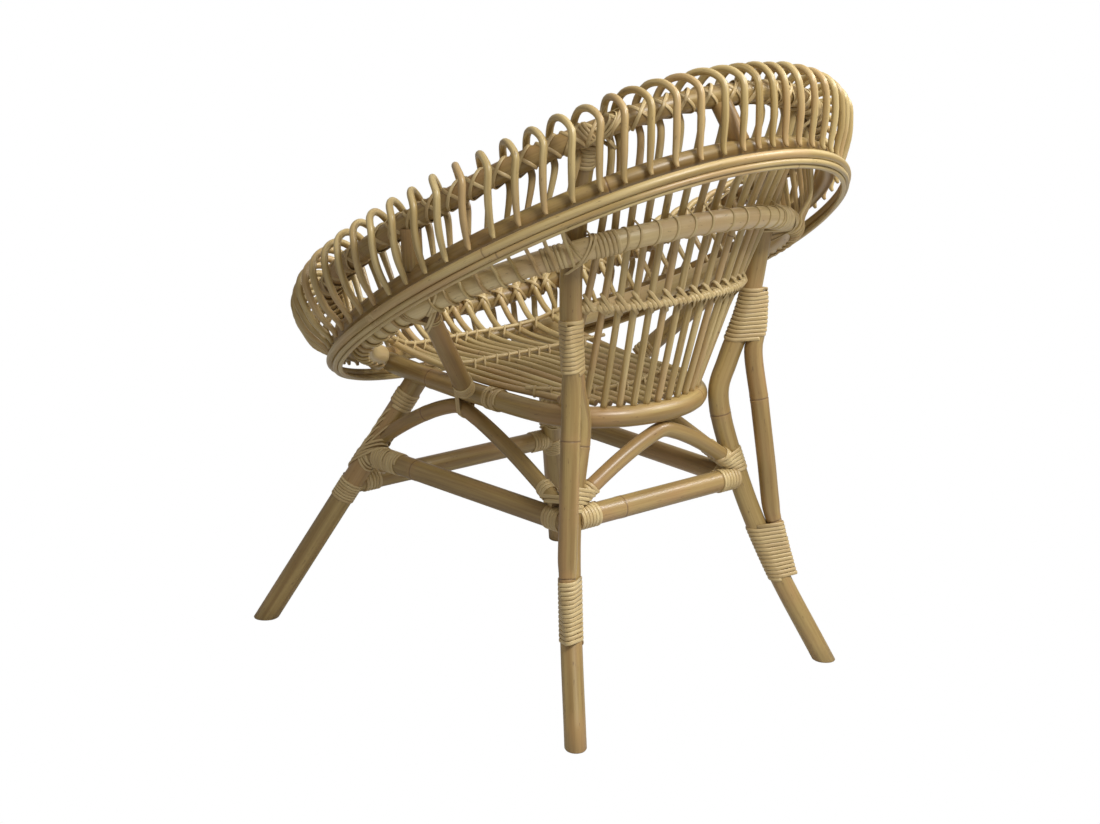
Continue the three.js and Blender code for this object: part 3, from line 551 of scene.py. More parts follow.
def addPole(shape, places, pole, seed, radii=None, tone=None, closed=False, floorEnd=False):
    # a round pole along places, as its piece's dictionary says; returns its track for the bindings
    chance = random.Random(seed)
    sides = pole["sides"]
    if not isinstance(radii, list):
        radii = [radii or pole["radius"]] * len(places)
    track = {"places": list(places), "radii": list(radii)}
    length = sum((b - a).length for a, b in zip(places, places[1:]))
    knots = ringPlaces(length, pole["knotGap"], chance) if "knotGap" in pole else []
    if closed:
        places, radii = places + [places[0]], radii + [radii[0]]
    places, radii, gaps, stops = withKnots(places, radii, knots)
    if closed:
        places, radii, gaps, stops = places[:-1], radii[:-1], gaps[:-1], stops[:-1]
    tangents, frames, twist = carriedFrames(places, closed)
    tone = pole.get("tone") if tone is None else tone
    tone = chance.random() if tone is None else tone
    shift = somewhereInGrain(chance)
    count, rounding = len(places), poleEnd["rounding"]
    rings = []

    def addRing(i, centre, radius, stop, level=None):
        spots, grains = [], []
        for k in range(sides):
            angle = 2 * math.pi * k / sides + twist * i / count
            arm = frames[i][0] * math.cos(angle) + frames[i][1] * math.sin(angle)
            spot = centre + arm * radius
            if level is not None:
                spot = spot + tangents[i] * ((level - spot.z) / tangents[i].z)
            spots.append(spot)
            grains.append(Vector((math.cos(angle) * radius, math.sin(angle) * radius, stop)) + shift)
        rings.append((spots, grains, tone, gaps[i]))

    for i, centre in enumerate(places):
        radius, stop = radii[i], stops[i]
        narrowed = max(radius - rounding, radius * poleEnd["leastShare"])
        if floorEnd and i == 0:
            addRing(i, centre, radius - poleEnd["floorChamfer"], 0, level=0)
            addRing(i, centre, radius, poleEnd["floorGrain"], level=poleEnd["floorStep"])
            continue
        if floorEnd and stop < radius * poleEnd["floorClearShare"]:
            continue
        if not closed and i == 0:
            addRing(i, centre, narrowed, stop)
            centre = centre + tangents[i] * rounding
        if not closed and i == count - 1:
            addRing(i, centre - tangents[i] * rounding, radius, stop - rounding)
            addRing(i, centre, narrowed, stop)
            continue
        addRing(i, centre, radius, stop)
    skin(shape, rings, closed)
    return track


# Flat cane, wound on the hull of one or more poles
cane = {
    "width": 5.2, "pitch": 5.3, "thick": 1.5, "thin": 3.8, "thinThick": 1.2,
    "section": ((-0.5, 0.0), (-0.45, 0.6), (-0.26, 0.93), (0.0, 1.0), (0.26, 0.93), (0.45, 0.6), (0.5, 0.0)),
    "steps": 30,  # in a turn
    "lift": 0.1,  # over the poles
    "pastEnd": 3,  # a pole is still wound this far past its end
    "reach": 120,  # poles further off than this aren't wound
    "endSlope": 0.2,  # least slope at which a pole is carried on past its end
    "hullSlope": 0.55,  # a pole cut more aslant than this is wound as if cut so
    "square": 0.02,  # a cut nearer to square than this is round
}


def sectionOf(track, origin, direction, distance):
    # centre, axis and radius where a track passes the plane, and how far past its end that is
    places = track["places"]
    best, found, past = math.inf, None, 0
    previous = (places[0] - origin).dot(direction) - distance
    for i in range(1, len(places)):
        here = (places[i] - origin).dot(direction) - distance
        if previous * here <= 0 and previous != here:
            share = previous / (previous - here)
            centre = places[i - 1].lerp(places[i], share)
            gap = (centre - origin).length
            if gap < best:
                best, found = gap, (centre, (places[i] - places[i - 1]).normalized(), i)
        previous = here
    if found is None:
        ends = ((0, 1), (-1, -2))
        end, inner = min(ends, key=lambda e: abs((places[e[0]] - origin).dot(direction) - distance))
        axis = (places[end] - places[inner]).normalized()
        reach = distance - (places[end] - origin).dot(direction)
        slope = axis.dot(direction)
        slope = math.copysign(max(abs(slope), cane["endSlope"]), slope)
        past = abs(reach / slope)
        found = (places[end] + axis * (reach / slope), axis, end)
    return found[0], found[1], track["radii"][found[2]], past


def hullPoint(sections, direction, way, extra):
    # furthest point of the cut poles along way, which is square to direction
    best, spot = -math.inf, None
    for centre, axis, radius, past in sections:
        radius = radius + extra
        minor = axis.cross(direction)
        if minor.length < cane["square"]:
            reach, place = radius, centre + way * radius
        else:
            minor = minor.normalized()
            major = direction.cross(minor)
            long = radius / max(abs(axis.dot(direction)), cane["hullSlope"])
            a, b = radius * way.dot(minor), long * way.dot(major)
            reach = math.hypot(a, b)
            place = centre + (minor * (radius * a) + major * (long * b)) / reach
        if centre.dot(way) + reach > best:
            best, spot = centre.dot(way) + reach, place
    return spot


def sectionsOf(tracks, origin, direction, distance, reach):
    # the tracks that the plane cuts within reach of origin
    sections = [sectionOf(track, origin, direction, distance) for track in tracks]
    near = [s for s in sections if s[3] < cane["pastEnd"] and (s[0] - origin).length < reach]
    return near or sections[:1]


def addWind(
    shape, tracks, origin, direction, turns, pitch, width, thick, seed, start=None, lift=cane["lift"],
    reach=cane["reach"], ring=False,
):
    # turns of cane round the tracks; direction is the way they advance and ring closes one turn on itself
    chance = random.Random(seed)
    direction = direction.normalized()
    if start is None:
        start = -turns * pitch / 2
    side = direction.orthogonal().normalized()
    other = direction.cross(side)
    tone = chance.random()
    shift = somewhereInGrain(chance)
    steps = cane["steps"] if ring else round(turns * cane["steps"])
    opening = chance.uniform(0, 2 * math.pi)
    outline = [(across * width, up * thick) for across, up in reversed(cane["section"])]
    rings, run, last = [], 0.0, None
    fixed = sectionsOf(tracks, origin, direction, start, reach) if ring else None
    for step in range(steps if ring else steps + 1):
        turn = 2 * math.pi * step / cane["steps"]
        distance = start + (0 if ring else pitch * step / cane["steps"])
        way = side * math.cos(turn + opening) + other * math.sin(turn + opening)
        sections = fixed or sectionsOf(tracks, origin, direction, distance, reach)
        spot = hullPoint(sections, direction, way, lift)
        spot = spot + direction * (distance - (spot - origin).dot(direction))
        if last is not None:
            run += (spot - last).length
        last = spot
        spots = [spot + direction * across + way * up for across, up in outline]
        grains = [Vector((across, up, run)) + shift for across, up in outline]
        rings.append((spots, grains, tone, growth["far"]))
    skin(shape, rings, ring)


def addTurn(
    shape, tracks, origin, direction, width, thick, seed, start=0, lift=cane["lift"], reach=cane["reach"],
):
    # one turn of cane that closes on itself, at start from origin
    addWind(shape, tracks, origin, direction, 1, 0, width, thick, seed, start, lift, reach, ring=True)


def directionAt(track, place):
    places = track["places"]
    i = min(range(1, len(places) - 1), key=lambda k: (places[k] - place).length)
    return (places[i + 1] - places[i - 1]).normalized()


def wrapRun(
    shape, tracks, place, turns, seed, pitch=cane["pitch"], width=cane["width"], start=None, level=0,
    reach=cane["reach"],
):
    # turns side by side along the first track from place; level turns them towards the horizontal
    direction = directionAt(tracks[0], place)
    direction = direction.lerp(zAxis * math.copysign(1, direction.z), level)
    addWind(shape, tracks, place, direction, turns, pitch, width, cane["thick"], seed, start, reach=reach)


lash = {"liftShare": 0.9, "pitchShare": 1.05, "reach": 36}


def crossLash(shape, first, second, place, strands, seed, lean=1.0, ways=(1, -1), reach=lash["reach"]):
    # an X of cane where two poles meet: strands one way over strands the other way
    a, b = directionAt(first, place), directionAt(second, place)
    for way in ways:
        direction = (a + b * (lean * way)).normalized()
        lift = cane["lift"] if way > 0 else cane["thinThick"] * lash["liftShare"]
        for strand in range(strands):
            start = (strand - (strands - 1) / 2) * cane["thin"] * lash["pitchShare"]
            addTurn(
                shape, [first, second], place, direction, cane["thin"], cane["thinThick"], seed + way,
                start, lift, reach,
            )


# Hoops and mid rail
rims = {
    "centre": (0, -4.3, 586), "halfWidth": 316, "halfDepth": 348.5, "tilt": 31, "radius": 12.5, "sag": 10,
    "lowerDrop": 65.5, "lowerForward": 10.3, "lowerHalfDepth": 353.5, "lowerRadius": 10.5, "lowerSag": 4,
    "lowerHalfWidth": 314.5, "lowerLift": 18,
    "steps": 150, "sides": 24, "knotGap": 620, "tone": 0.7,
}
rimTilt = degrees(rims["tilt"])
rim = Ellipse(
    Vector(rims["centre"]), rims["halfWidth"], rims["halfDepth"], rims["halfDepth"], rimTilt, rims["sag"],
)
lowerRim = Ellipse(
    rim.centre - rim.normal * rims["lowerDrop"] + rim.outward(-math.pi / 2) * rims["lowerForward"],
    rims["lowerHalfWidth"], rims["lowerHalfDepth"], rims["lowerHalfDepth"], rimTilt,
    rims["lowerSag"], rims["lowerLift"],
)


def hoopPlaces(ellipse, out=0.0, rise=0.0):
    return [ellipse.point(2 * math.pi * i / rims["steps"], out, rise) for i in range(rims["steps"])]


def addHoop(name, ellipse, radius, seed, node):
    shape = newShape()
    track = addPole(shape, hoopPlaces(ellipse), rims, seed, radius, closed=True)
    makePiece(name, shape, "pole", node)
    return track


rimTrack = addHoop("upperRimHoop", rim, rims["radius"], 11, "upper_rim_hoop")
addHoop("lowerRimHoop", lowerRim, rims["lowerRadius"], 12, "lower_rim_hoop")

midRail = {
    "centre": (0, 34.9, 502.7), "halfWidth": 287, "rearDepth": 250.7, "frontDepth": 322, "tilt": 25.7,
    "turn": 56, "turnStep": 8,  # degrees from the widest place to where the rail leaves the oval
    "end": (142.5, -237.7, 370.1), "shoulderShares": (0.4, 0.38, 0.42),
    "radius": 13.5, "step": 8, "sides": 24, "knotGap": 640, "tone": 0.1,
}
rail = Ellipse(
    Vector(midRail["centre"]), midRail["halfWidth"], midRail["rearDepth"], midRail["frontDepth"],
    degrees(midRail["tilt"]),
)


def railPoints():
    # the front ends turn in beside the seat pole
    end = Vector(midRail["end"])
    half = [end, between(rail.point(-degrees(midRail["turn"])), end, midRail["shoulderShares"])]
    angle = -midRail["turn"]
    while angle < 90:
        half.append(rail.point(degrees(angle)))
        angle += midRail["turnStep"]
    half = [point for point in half if point.x > midRail["radius"]]
    return half + [rail.point(math.pi / 2)] + [mirror(point) for point in reversed(half)]


shape = newShape()
railPlaces = spline(railPoints(), midRail["step"])[0]
railTrack = addPole(shape, railPlaces, midRail, 13)
makePiece("midRail", shape, "straw", "mid_rail")

# Seat pole
seat = {
    "height": 362, "halfWidth": 124, "rearDepth": 101, "back": 76.3, "bow": 9, "frontHalfWidth": 113,
    "front": 247.7, "radius": 13.5, "sideShares": (1, 0.75, 0.5, 0.25), "bends": (0, 20, 40, 60, 75, 90),
    "step": 8, "sides": 24, "knotGap": 420, "tone": 0.25,
}


def seatSide(share):
    across = mix(seat["halfWidth"], seat["frontHalfWidth"], share) + seat["bow"] * math.sin(math.pi * share)
    return Vector((across, mix(seat["back"], -seat["front"], share), seat["height"]))


def seatBend(angle):
    across, back = seat["halfWidth"] * math.cos(angle), seat["back"] + seat["rearDepth"] * math.sin(angle)
    return Vector((across, back, seat["height"]))


def seatOut(angle):
    return Vector((math.cos(angle) / seat["halfWidth"], math.sin(angle) / seat["rearDepth"], 0)).normalized()


def seatPoints():
    half = [seatSide(share) for share in seat["sideShares"]]
    half += [seatBend(angle) for angle in degrees(*seat["bends"])]
    return half + [mirror(point) for point in reversed(half[:-1])]


shape = newShape()
seatTrack = addPole(shape, spline(seatPoints(), seat["step"])[0], seat, 14)
makePiece("seatPole", shape, "pole", "seat_pole")

# Rear posts
post = {
    "foot": (219, 268.3, 0), "radius": 13.5, "topRadius": 13, "taperFromShare": 0.86, "topDrop": 7,
    "seatAngle": 37.5, "railAngle": 53, "topAngle": 55, "topInset": 18.5,
    "lowerShares": ((0.42, 0.53, 0.36), (0.73, 0.87, 0.68)),
    "middleShares": ((0.28, 0.1, 0.18), (0.72, 0.5, 0.48), (0.96, 0.8, 0.86)),
    "upperShares": ((0.5, 0.3, 0.43), (1, 0.7, 0.8)),
    "step": 7, "sides": 28, "knotGap": 420, "tone": 0.45,
}


def postPoints():
    foot = Vector(post["foot"])
    seatAngle, railAngle, topAngle = degrees(post["seatAngle"], post["railAngle"], post["topAngle"])
    waist = seatBend(seatAngle) + seatOut(seatAngle) * (seat["radius"] + post["radius"] + slack)
    top = rim.point(topAngle, -post["topInset"])
    lean = (top - waist).normalized()
    side = rail.along(railAngle).cross(lean).normalized()
    crook = rail.point(railAngle) - side * (midRail["radius"] + post["radius"] + slack)
    return [
        foot, *(between(foot, waist, shares) for shares in post["lowerShares"]), waist,
        *(between(waist, crook, shares) for shares in post["middleShares"]), crook,
        *(between(crook, top, shares) for shares in post["upperShares"]), top,
    ]


postPlaces = spline(postPoints(), post["step"])[0]
postTop = postPlaces[-1].z


def postRadius(height):
    start = postTop * post["taperFromShare"]
    share = (height - start) / (postTop - start - post["topDrop"])
    return mix(post["radius"], post["topRadius"], clamp(share))


shape = newShape()
postRadii = [postRadius(place.z) for place in postPlaces]
postTrack = addPole(shape, postPlaces, post, 15, postRadii, floorEnd=True)
makePair("rearPost", shape, "pole", "rear_post")

# Rear braces, scarfed to the posts at both ends
brace = {
    "radius": 12, "tip": 3, "gap": 1.2, "foot": 108, "footRun": 78, "head": 497, "headRun": 68,
    "footTaper": 1.3, "headTaper": 1.1, "runShares": (0, 0.25, 0.5, 0.75), "middleShares": (0, 0.33, 0.67, 1),
    "step": 7, "sides": 24, "knotGap": 170, "tone": 0.3,
}


def braceRadius(height):
    foot = (height - brace["foot"]) / (brace["footTaper"] * brace["footRun"])
    head = (brace["head"] - height) / (brace["headTaper"] * brace["headRun"])
    return mix(brace["tip"], brace["radius"], clamp(min(foot, head)))


def besidePost(height):
    reach = post["radius"] + braceRadius(height) + brace["gap"]
    along = crossing(postPlaces, height + post["radius"]) - crossing(postPlaces, height - post["radius"])
    along.normalize()
    out = seatOut(degrees(post["seatAngle"]))
    out = (out - along * out.dot(along)).normalized()
    return crossing(postPlaces, height) + out * reach


def bracePoints():
    low, high = brace["foot"] + brace["footRun"], brace["head"] - brace["headRun"]
    foot = [besidePost(brace["foot"] + share * brace["footRun"]) for share in brace["runShares"]]
    middle = [besidePost(low).lerp(besidePost(high), share) for share in brace["middleShares"]]
    head = [besidePost(brace["head"] - share * brace["headRun"]) for share in reversed(brace["runShares"])]
    return foot + middle + head


shape = newShape()
bracePlaces = spline(bracePoints(), brace["step"])[0]
braceRadii = [braceRadius(place.z) for place in bracePlaces]
braceTrack = addPole(shape, bracePlaces, brace, 16, braceRadii)
makePair("rearBrace", shape, "pole", "rear_brace")

# Front legs
leg = {
    "foot": (270, -337.7, 0), "top": (115, -184.7, 348.5), "tuck": 4.5,
    "radius": 15, "sides": 28, "knotGap": 420, "tone": 0.5,
}
straightStep = 9


def straight(a, b):
    pieces = max(2, round((b - a).length / straightStep))
    return [a.lerp(b, i / pieces) for i in range(pieces + 1)]


legFoot, legTop = Vector(leg["foot"]), Vector(leg["top"])
legPlaces = straight(legFoot, legTop + (legTop - legFoot).normalized() * leg["tuck"])
shape = newShape()
legTrack = addPole(shape, legPlaces, leg, 17, floorEnd=True)
makePair("frontLeg", shape, "pole", "front_leg")

# Stretchers, whose ends butt against the legs
stretcher = {
    "radius": 14, "side": 243, "rear": 247, "front": 200, "inset": 7, "sides": 24, "knotGap": 300,
    "tones": {"side": 0.9, "rear": 0.35, "front": 0.5},
}
legAtSide, postAtSide = crossing(legPlaces, stretcher["side"]), crossing(postPlaces, stretcher["side"])
postAtRear, legAtFront = crossing(postPlaces, stretcher["rear"]), crossing(legPlaces, stretcher["front"])


def addStretcher(shape, a, b, seed, tone):
    short = (b - a).normalized() * stretcher["inset"]
    return addPole(shape, straight(a + short, b - short), stretcher, seed, tone=stretcher["tones"][tone])


shape = newShape()
sideStretcherTrack = addStretcher(shape, legAtSide, postAtSide, 18, "side")
makePair("sideStretcher", shape, "pole", "side_stretcher")
shape = newShape()
rearStretcherTrack = addStretcher(shape, mirror(postAtRear), postAtRear, 19, "rear")
makePiece("rearStretcher", shape, "pole", "rear_stretcher")
shape = newShape()
frontStretcherTrack = addStretcher(shape, mirror(legAtFront), legAtFront, 20, "front")
makePiece("frontStretcher", shape, "pole", "front_stretcher")

# Arches under the seat pole
arch = {
    "radius": 10, "foot": 262, "power": 1.35, "sideCrownShare": 0.46, "points": 12, "step": 7, "sides": 20,
    "knotGap": 330, "sideTone": 0.85, "rearTone": 0.3,
}
archCrown = seat["height"] - seat["radius"] - arch["radius"] - slack


def archPlaces(a, b, crown):
    points = []
    for i in range(arch["points"] + 1):
        share = i / arch["points"]
        rise = 1 - abs(2 * share - 1) ** arch["power"]
        points.append(a.lerp(b, share) + (crown - a.lerp(b, 0.5)) * rise)
    return spline(points, arch["step"])[0]


sideCrown = seatSide(arch["sideCrownShare"])
sideCrown.z = archCrown
sideArchPlaces = archPlaces(
    crossing(legPlaces, arch["foot"]),
    Vector((postAtSide.x, postAtSide.y - post["radius"] - arch["radius"], arch["foot"])),
    sideCrown,
)
shape = newShape()
sideArchTrack = addPole(shape, sideArchPlaces, arch, 21, tone=arch["sideTone"])
makePair("sideArch", shape, "pole", "side_arch")
postAtArch = crossing(postPlaces, arch["foot"])
rearCrown = Vector((0, seat["back"] + seat["rearDepth"], archCrown))
rearArchPlaces = archPlaces(mirror(postAtArch), postAtArch, rearCrown)
shape = newShape()
rearArchTrack = addPole(shape, rearArchPlaces, arch, 22, tone=arch["rearTone"])
makePiece("rearArch", shape, "pole", "rear_arch")

# Arm struts, from beside the seat pole to under the mid rail
strut = {
    "radius": 12, "low": (151.3, -29.7, 373), "angle": 5, "railIn": 16.6, "railDrop": 12, "tail": 3,
    "sides": 24, "tone": 0.75,
}
strutLow = Vector(strut["low"])
strutHigh = rail.point(degrees(strut["angle"])) + Vector((-strut["railIn"], 0, -strut["railDrop"]))
strutLow = strutLow - (strutHigh - strutLow).normalized() * strut["tail"]
shape = newShape()
strutTrack = addPole(shape, straight(strutLow, strutHigh), strut, 23)
makePair("armStrut", shape, "pole", "arm_strut")

# Short struts between the two hoops
spacer = {
    "radius": 12.5, "inset": 8.7, "lowInset": 6.96, "sides": 22,
    "side": (13, 11), "rear": (84, 86), "front": (-90, -90),  # degrees along the upper and lower hoop
}


def addSpacer(shape, place, seed):
    topAngle, bottomAngle = degrees(*spacer[place])
    top = rim.point(topAngle, 0, -spacer["inset"])
    bottom = lowerRim.point(bottomAngle, 0, spacer["lowInset"])
    addPole(shape, straight(top, bottom), spacer, seed)


shape = newShape()
addSpacer(shape, "side", 24)
makePair("rimSpacer", shape, "pole", "rim_spacer")
shape = newShape()
addSpacer(shape, "rear", 25)
makePiece("rimSpacerRear", shape, "pole", "rim_spacer_rear")
shape = newShape()
addSpacer(shape, "front", 26)
makePiece("rimSpacerFront", shape, "pole", "rim_spacer_front")
print("poles ready")

# Rods that loop over the upper hoop: each rises plumb inside it, crosses it aslant and falls plumb outside
rod = {
    "radius": 4.4, "foot": 2, "hook": 2.4, "reach": 45, "rise": 26, "uneven": 0.9,
    "sides": 12, "step": 6, "knotGap": 900,
    "pitch": 4.85, "seatPitch": 5, "sidePitch": 5.15, "before": 3, "twist": 5.6, "plumb": 6.4,  # degrees
    "turnOver": 6,  # how fast the lean changes sides at the front and the back
    "footDropShare": 0.75, "ankleDropShare": 0.2, "ankleShare": 0.8, "insideShare": 0.5,
    # out and up from the hoop by shares of reach and rise, then shares of the lower hoop's offset, of plumb
    # and of twist
    "loopShares": (
        (0.72, -1.55, 0.8, 0.62, 1), (0.9, -0.85, 0.5, 0.33, 1), (1, -0.1, 0.25, 0.04, 1),
        (0.78, 0.6, 0.1, 0, 0.84), (0.25, 1, 0, 0, 0.52), (-0.25, 0.68, 0, 0, 0.18),
    ),
}
insideRim = rims["radius"] + rod["radius"] + touch
footReach = rims["lowerRadius"] + rod["foot"] + touch
outsideLower = rims["lowerRadius"] + rod["radius"] + 3 * touch


def leanWay(angle):
    # 1 on the sitter's left and -1 on the right
    return clamp(rod["turnOver"] * math.cos(angle), -1, 1)


def crossingAngle(angle):
    return angle - degrees(rod["before"]) * leanWay(angle)


def loopRings(angle, chance, start=None):
    # places and radii from a rod's foot up and over the hoop to its inner side
    start = crossingAngle(angle) if start is None else start
    twist = crossingAngle(angle) + degrees(rod["twist"]) * leanWay(angle) - start
    plumb = degrees(rod["plumb"]) * math.cos(angle)
    byFoot = start + twist - plumb
    fall = lowerRim.point(byFoot) - rim.point(byFoot)
    shift, drop = fall.dot(rim.outward(byFoot)), fall.dot(rim.normal)
    reach = rod["reach"] + chance.uniform(-rod["uneven"], rod["uneven"])
    height = rod["rise"] + chance.uniform(-rod["uneven"], rod["uneven"])
    foot = rim.point(byFoot, shift + outsideLower, drop - footReach * rod["footDropShare"])
    ankle = rim.point(byFoot, shift + outsideLower, drop - footReach * rod["ankleDropShare"])
    rings = [(foot, rod["foot"]), (ankle, rod["radius"] * rod["ankleShare"])]
    for out, rise, take, fallen, turned in rod["loopShares"]:
        place = rim.point(start + twist * turned - plumb * fallen, out * reach + take * shift, rise * height)
        rings.append((place, rod["radius"]))
    rings.append((rim.point(start, -insideRim, rod["radius"] * rod["insideShare"]), rod["radius"]))
    return rings


def addRod(shape, rings, seed):
    places, marks = spline([place for place, radius in rings], rod["step"])
    radii = [atMark([radius for place, radius in rings], mark) for mark in marks]
    return addPole(shape, places, rod, seed, radii)


def innerHalf(track):
    return track["places"][len(track["places"]) // 2:]


def rodAngles(count, middle, pitch):
    return [middle + degrees(pitch) * (i - (count - 1) / 2) for i in range(count)]


# Back rods stand on the seat pole
backRods = {
    "count": 14, "spread": 1.06, "crowding": 0.14, "span": 35, "railPitch": 5, "pitch": 17.5, "shoulder": 3.6,
    "besidePost": 58.4, "footShare": 0.35, "footSink": 2,
}


def backRodRings(angle, i, chance):
    turn = (angle - math.pi / 2) * backRods["railPitch"] / rod["pitch"]
    start = crossingAngle(angle)
    if i in (0, backRods["count"] - 1):
        start = degrees(backRods["besidePost"] if i == 0 else 180 - backRods["besidePost"])
    crowd = backRods["crowding"] * (turn / degrees(backRods["span"])) ** 2
    railAngle = math.pi / 2 + turn * (backRods["spread"] - crowd)
    across = backRods["pitch"] * ((backRods["count"] - 1) / 2 - i)
    foot = seatBend(math.acos(across / seat["halfWidth"]))
    foot.z = seat["height"] + seat["radius"] + rod["radius"] * backRods["footShare"] + slack
    foot.z -= backRods["footSink"]
    shoulder = rim.point(start, -insideRim - touch, -rod["radius"] * backRods["shoulder"])
    lean = (shoulder - foot).normalized()
    inward = rail.along(railAngle).cross(lean).normalized()
    byRail = rail.point(railAngle) - inward * (midRail["radius"] + rod["radius"] + touch)
    return loopRings(angle, chance, start) + [(place, rod["radius"]) for place in (shoulder, byRail, foot)]


chance = random.Random(5)
shape = newShape()
backTracks = []
backAngles = rodAngles(backRods["count"], math.pi / 2, rod["pitch"])
for i, angle in enumerate(backAngles):
    backTracks.append(addRod(shape, backRodRings(angle, i, chance), 100 + i))
makePiece("backRods", shape, "rod", "back_rods")

# Seat rods lie over the front of the hoop and back along the seat
seatRods = {
    "count": 14, "spread": 0.873, "rise": 18.4, "butt": 21, "dip": 9, "shoulder": 3,
    "frontBend": 42, "frontShare": 0.2, "edgeRise": 4.8, "edgePower": 4,
}


def seatRodRings(angle, i, chance):
    order = i - (seatRods["count"] - 1) / 2
    outer = abs(order) / ((seatRods["count"] - 1) / 2)
    level = seat["height"] + seatRods["rise"]
    across = order * 2 * seatRods["spread"] * seat["halfWidth"] / (seatRods["count"] - 1)
    shoulder = rim.point(crossingAngle(angle), -insideRim - touch, -rod["radius"] * seatRods["shoulder"])
    rearY = seatBend(math.acos(across / seat["halfWidth"])).y - seatRods["butt"]
    rear = Vector((across, rearY, level - seatRods["dip"] * (1 - outer ** 2)))
    edge = outer ** seatRods["edgePower"] * rod["radius"] * seatRods["edgeRise"]
    frontX = mix(shoulder.x, rear.x, seatRods["frontShare"])
    front = Vector((frontX, shoulder.y + seatRods["frontBend"], level + edge))
    middle = front.lerp(rear, 0.5)
    middle.z = level
    return loopRings(angle, chance) + [(place, rod["radius"]) for place in (shoulder, front, middle, rear)]


shape = newShape()
seatTracks, seatLines = [], []
seatAngles = rodAngles(seatRods["count"], -math.pi / 2, rod["seatPitch"])
for i, angle in enumerate(seatAngles):
    rings = seatRodRings(angle, i, chance)
    seatLines.append([place for place, radius in rings[-3:]])
    seatTracks.append(addRod(shape, rings, 130 + i))
makePiece("seatRods", shape, "rod", "seat_rods")

# Side rods pass inside the lower hoop and hook round the mid rail
sideRods = {
    "count": 22, "shoulder": 3, "frontLead": 1.04, "crowding": 0.07, "span": 55, "tipShare": 0.7,
    "hookStep": 30, "hookTurn": 165, "frontTurn": 125, "shortTurn": 55,  # degrees round the mid rail
    "frontFrom": 20, "byStrut": 5,  # degrees along the hoop
}


def sideRodRings(angle, chance):
    crowd = sideRods["crowding"] * (angle / degrees(sideRods["span"])) ** 2
    railAngle = angle * (sideRods["frontLead"] if angle < 0 else 1 - crowd)
    railPoint, out = rail.point(railAngle), rim.outward(angle)
    toHoop = lowerRim.point(angle) - railPoint
    bearing = math.atan2(toHoop.dot(rim.normal), toHoop.dot(out))
    room = math.hypot(toHoop.dot(rim.normal), toHoop.dot(out))

    def onHook(reach, turn):
        return railPoint + out * (reach * math.cos(turn)) + rim.normal * (reach * math.sin(turn))

    rings = loopRings(angle, chance)
    shoulder = rim.point(crossingAngle(angle), -insideRim - touch, -rod["radius"] * sideRods["shoulder"])
    rings.append((shoulder, rod["radius"]))
    rings.append((onHook((room - rims["lowerRadius"] + midRail["radius"] + touch) / 2, bearing), rod["hook"]))
    lastTurn = sideRods["frontTurn"] if angle < -degrees(sideRods["frontFrom"]) else sideRods["hookTurn"]
    if abs(angle - degrees(strut["angle"])) < degrees(sideRods["byStrut"]):
        lastTurn = sideRods["shortTurn"]
    turn = sideRods["hookStep"]
    while turn <= lastTurn:
        thin = rod["hook"] * mix(1, sideRods["tipShare"], turn / sideRods["hookTurn"])
        rings.append((onHook(midRail["radius"] + thin + touch, bearing - degrees(turn)), thin))
        turn += sideRods["hookStep"]
    return rings


sideAngles = rodAngles(sideRods["count"], 0, rod["sidePitch"])
sideTracks = []
half = sideRods["count"] // 2
for name, node, angles in (
    ("sideRodsFront", "side_rods_front", sideAngles[:half]),
    ("sideRodsRear", "side_rods_rear", sideAngles[half:]),
):
    shape = newShape()
    for angle in angles:
        sideTracks.append(addRod(shape, sideRodRings(angle, chance), 160 + len(sideTracks)))
    makePair(name, shape, "rod", node)

# Strands round the outside of the rods' feet
bands = {
    "upper": 5.5, "middle": 3.5, "lower": 3, "middleTurn": -111, "lowerTurn": -148,
    "outShare": 0.5, "dropShare": 1.2, "sides": 16, "knotGap": 800,
}
bandOut = footReach + rod["foot"] + bands["upper"] * bands["outShare"]
bandRise = -footReach - bands["upper"] * bands["dropShare"]
bandPlaces = {"upper": (bandOut, bandRise)}
for name, last, turn in (("middle", "upper", bands["middleTurn"]), ("lower", "middle", bands["lowerTurn"])):
    reach = bands[last] + bands[name]
    out, rise = bandPlaces[last]
    bandPlaces[name] = (out + reach * math.cos(degrees(turn)), rise + reach * math.sin(degrees(turn)))
for seed, (name, (out, rise)) in enumerate(bandPlaces.items()):
    shape = newShape()
    addPole(shape, hoopPlaces(lowerRim, out, rise), bands, 200 + seed, bands[name], closed=True)
    makePiece(name + "BandStrand", shape, "rod", "band_strand_" + name)
print("rods ready")

# Brace bindings
braceBinding = {
    "footRise": 3, "footTurns": 14, "footLevel": 0.75, "headStart": 433, "headTurns": 12.5, "headLevel": 1.15,
}
scarf = [postTrack, braceTrack]
shape = newShape()
place = crossing(postPlaces, brace["foot"] + braceBinding["footRise"])
wrapRun(shape, scarf, place, braceBinding["footTurns"], 301, start=0, level=braceBinding["footLevel"])
makePair("braceFootBinding", shape, "cane", "brace_foot_binding")
shape = newShape()
place = crossing(postPlaces, braceBinding["headStart"])
wrapRun(shape, scarf, place, braceBinding["headTurns"], 302, start=0, level=braceBinding["headLevel"])
makePair("braceHeadBinding", shape, "cane", "brace_head_binding")

# Lashings that tie every rod to the upper hoop
rimLash = {"lean": 42, "width": 4.6, "thick": 1.3, "insideShare": 0.4, "lift": 1.1}


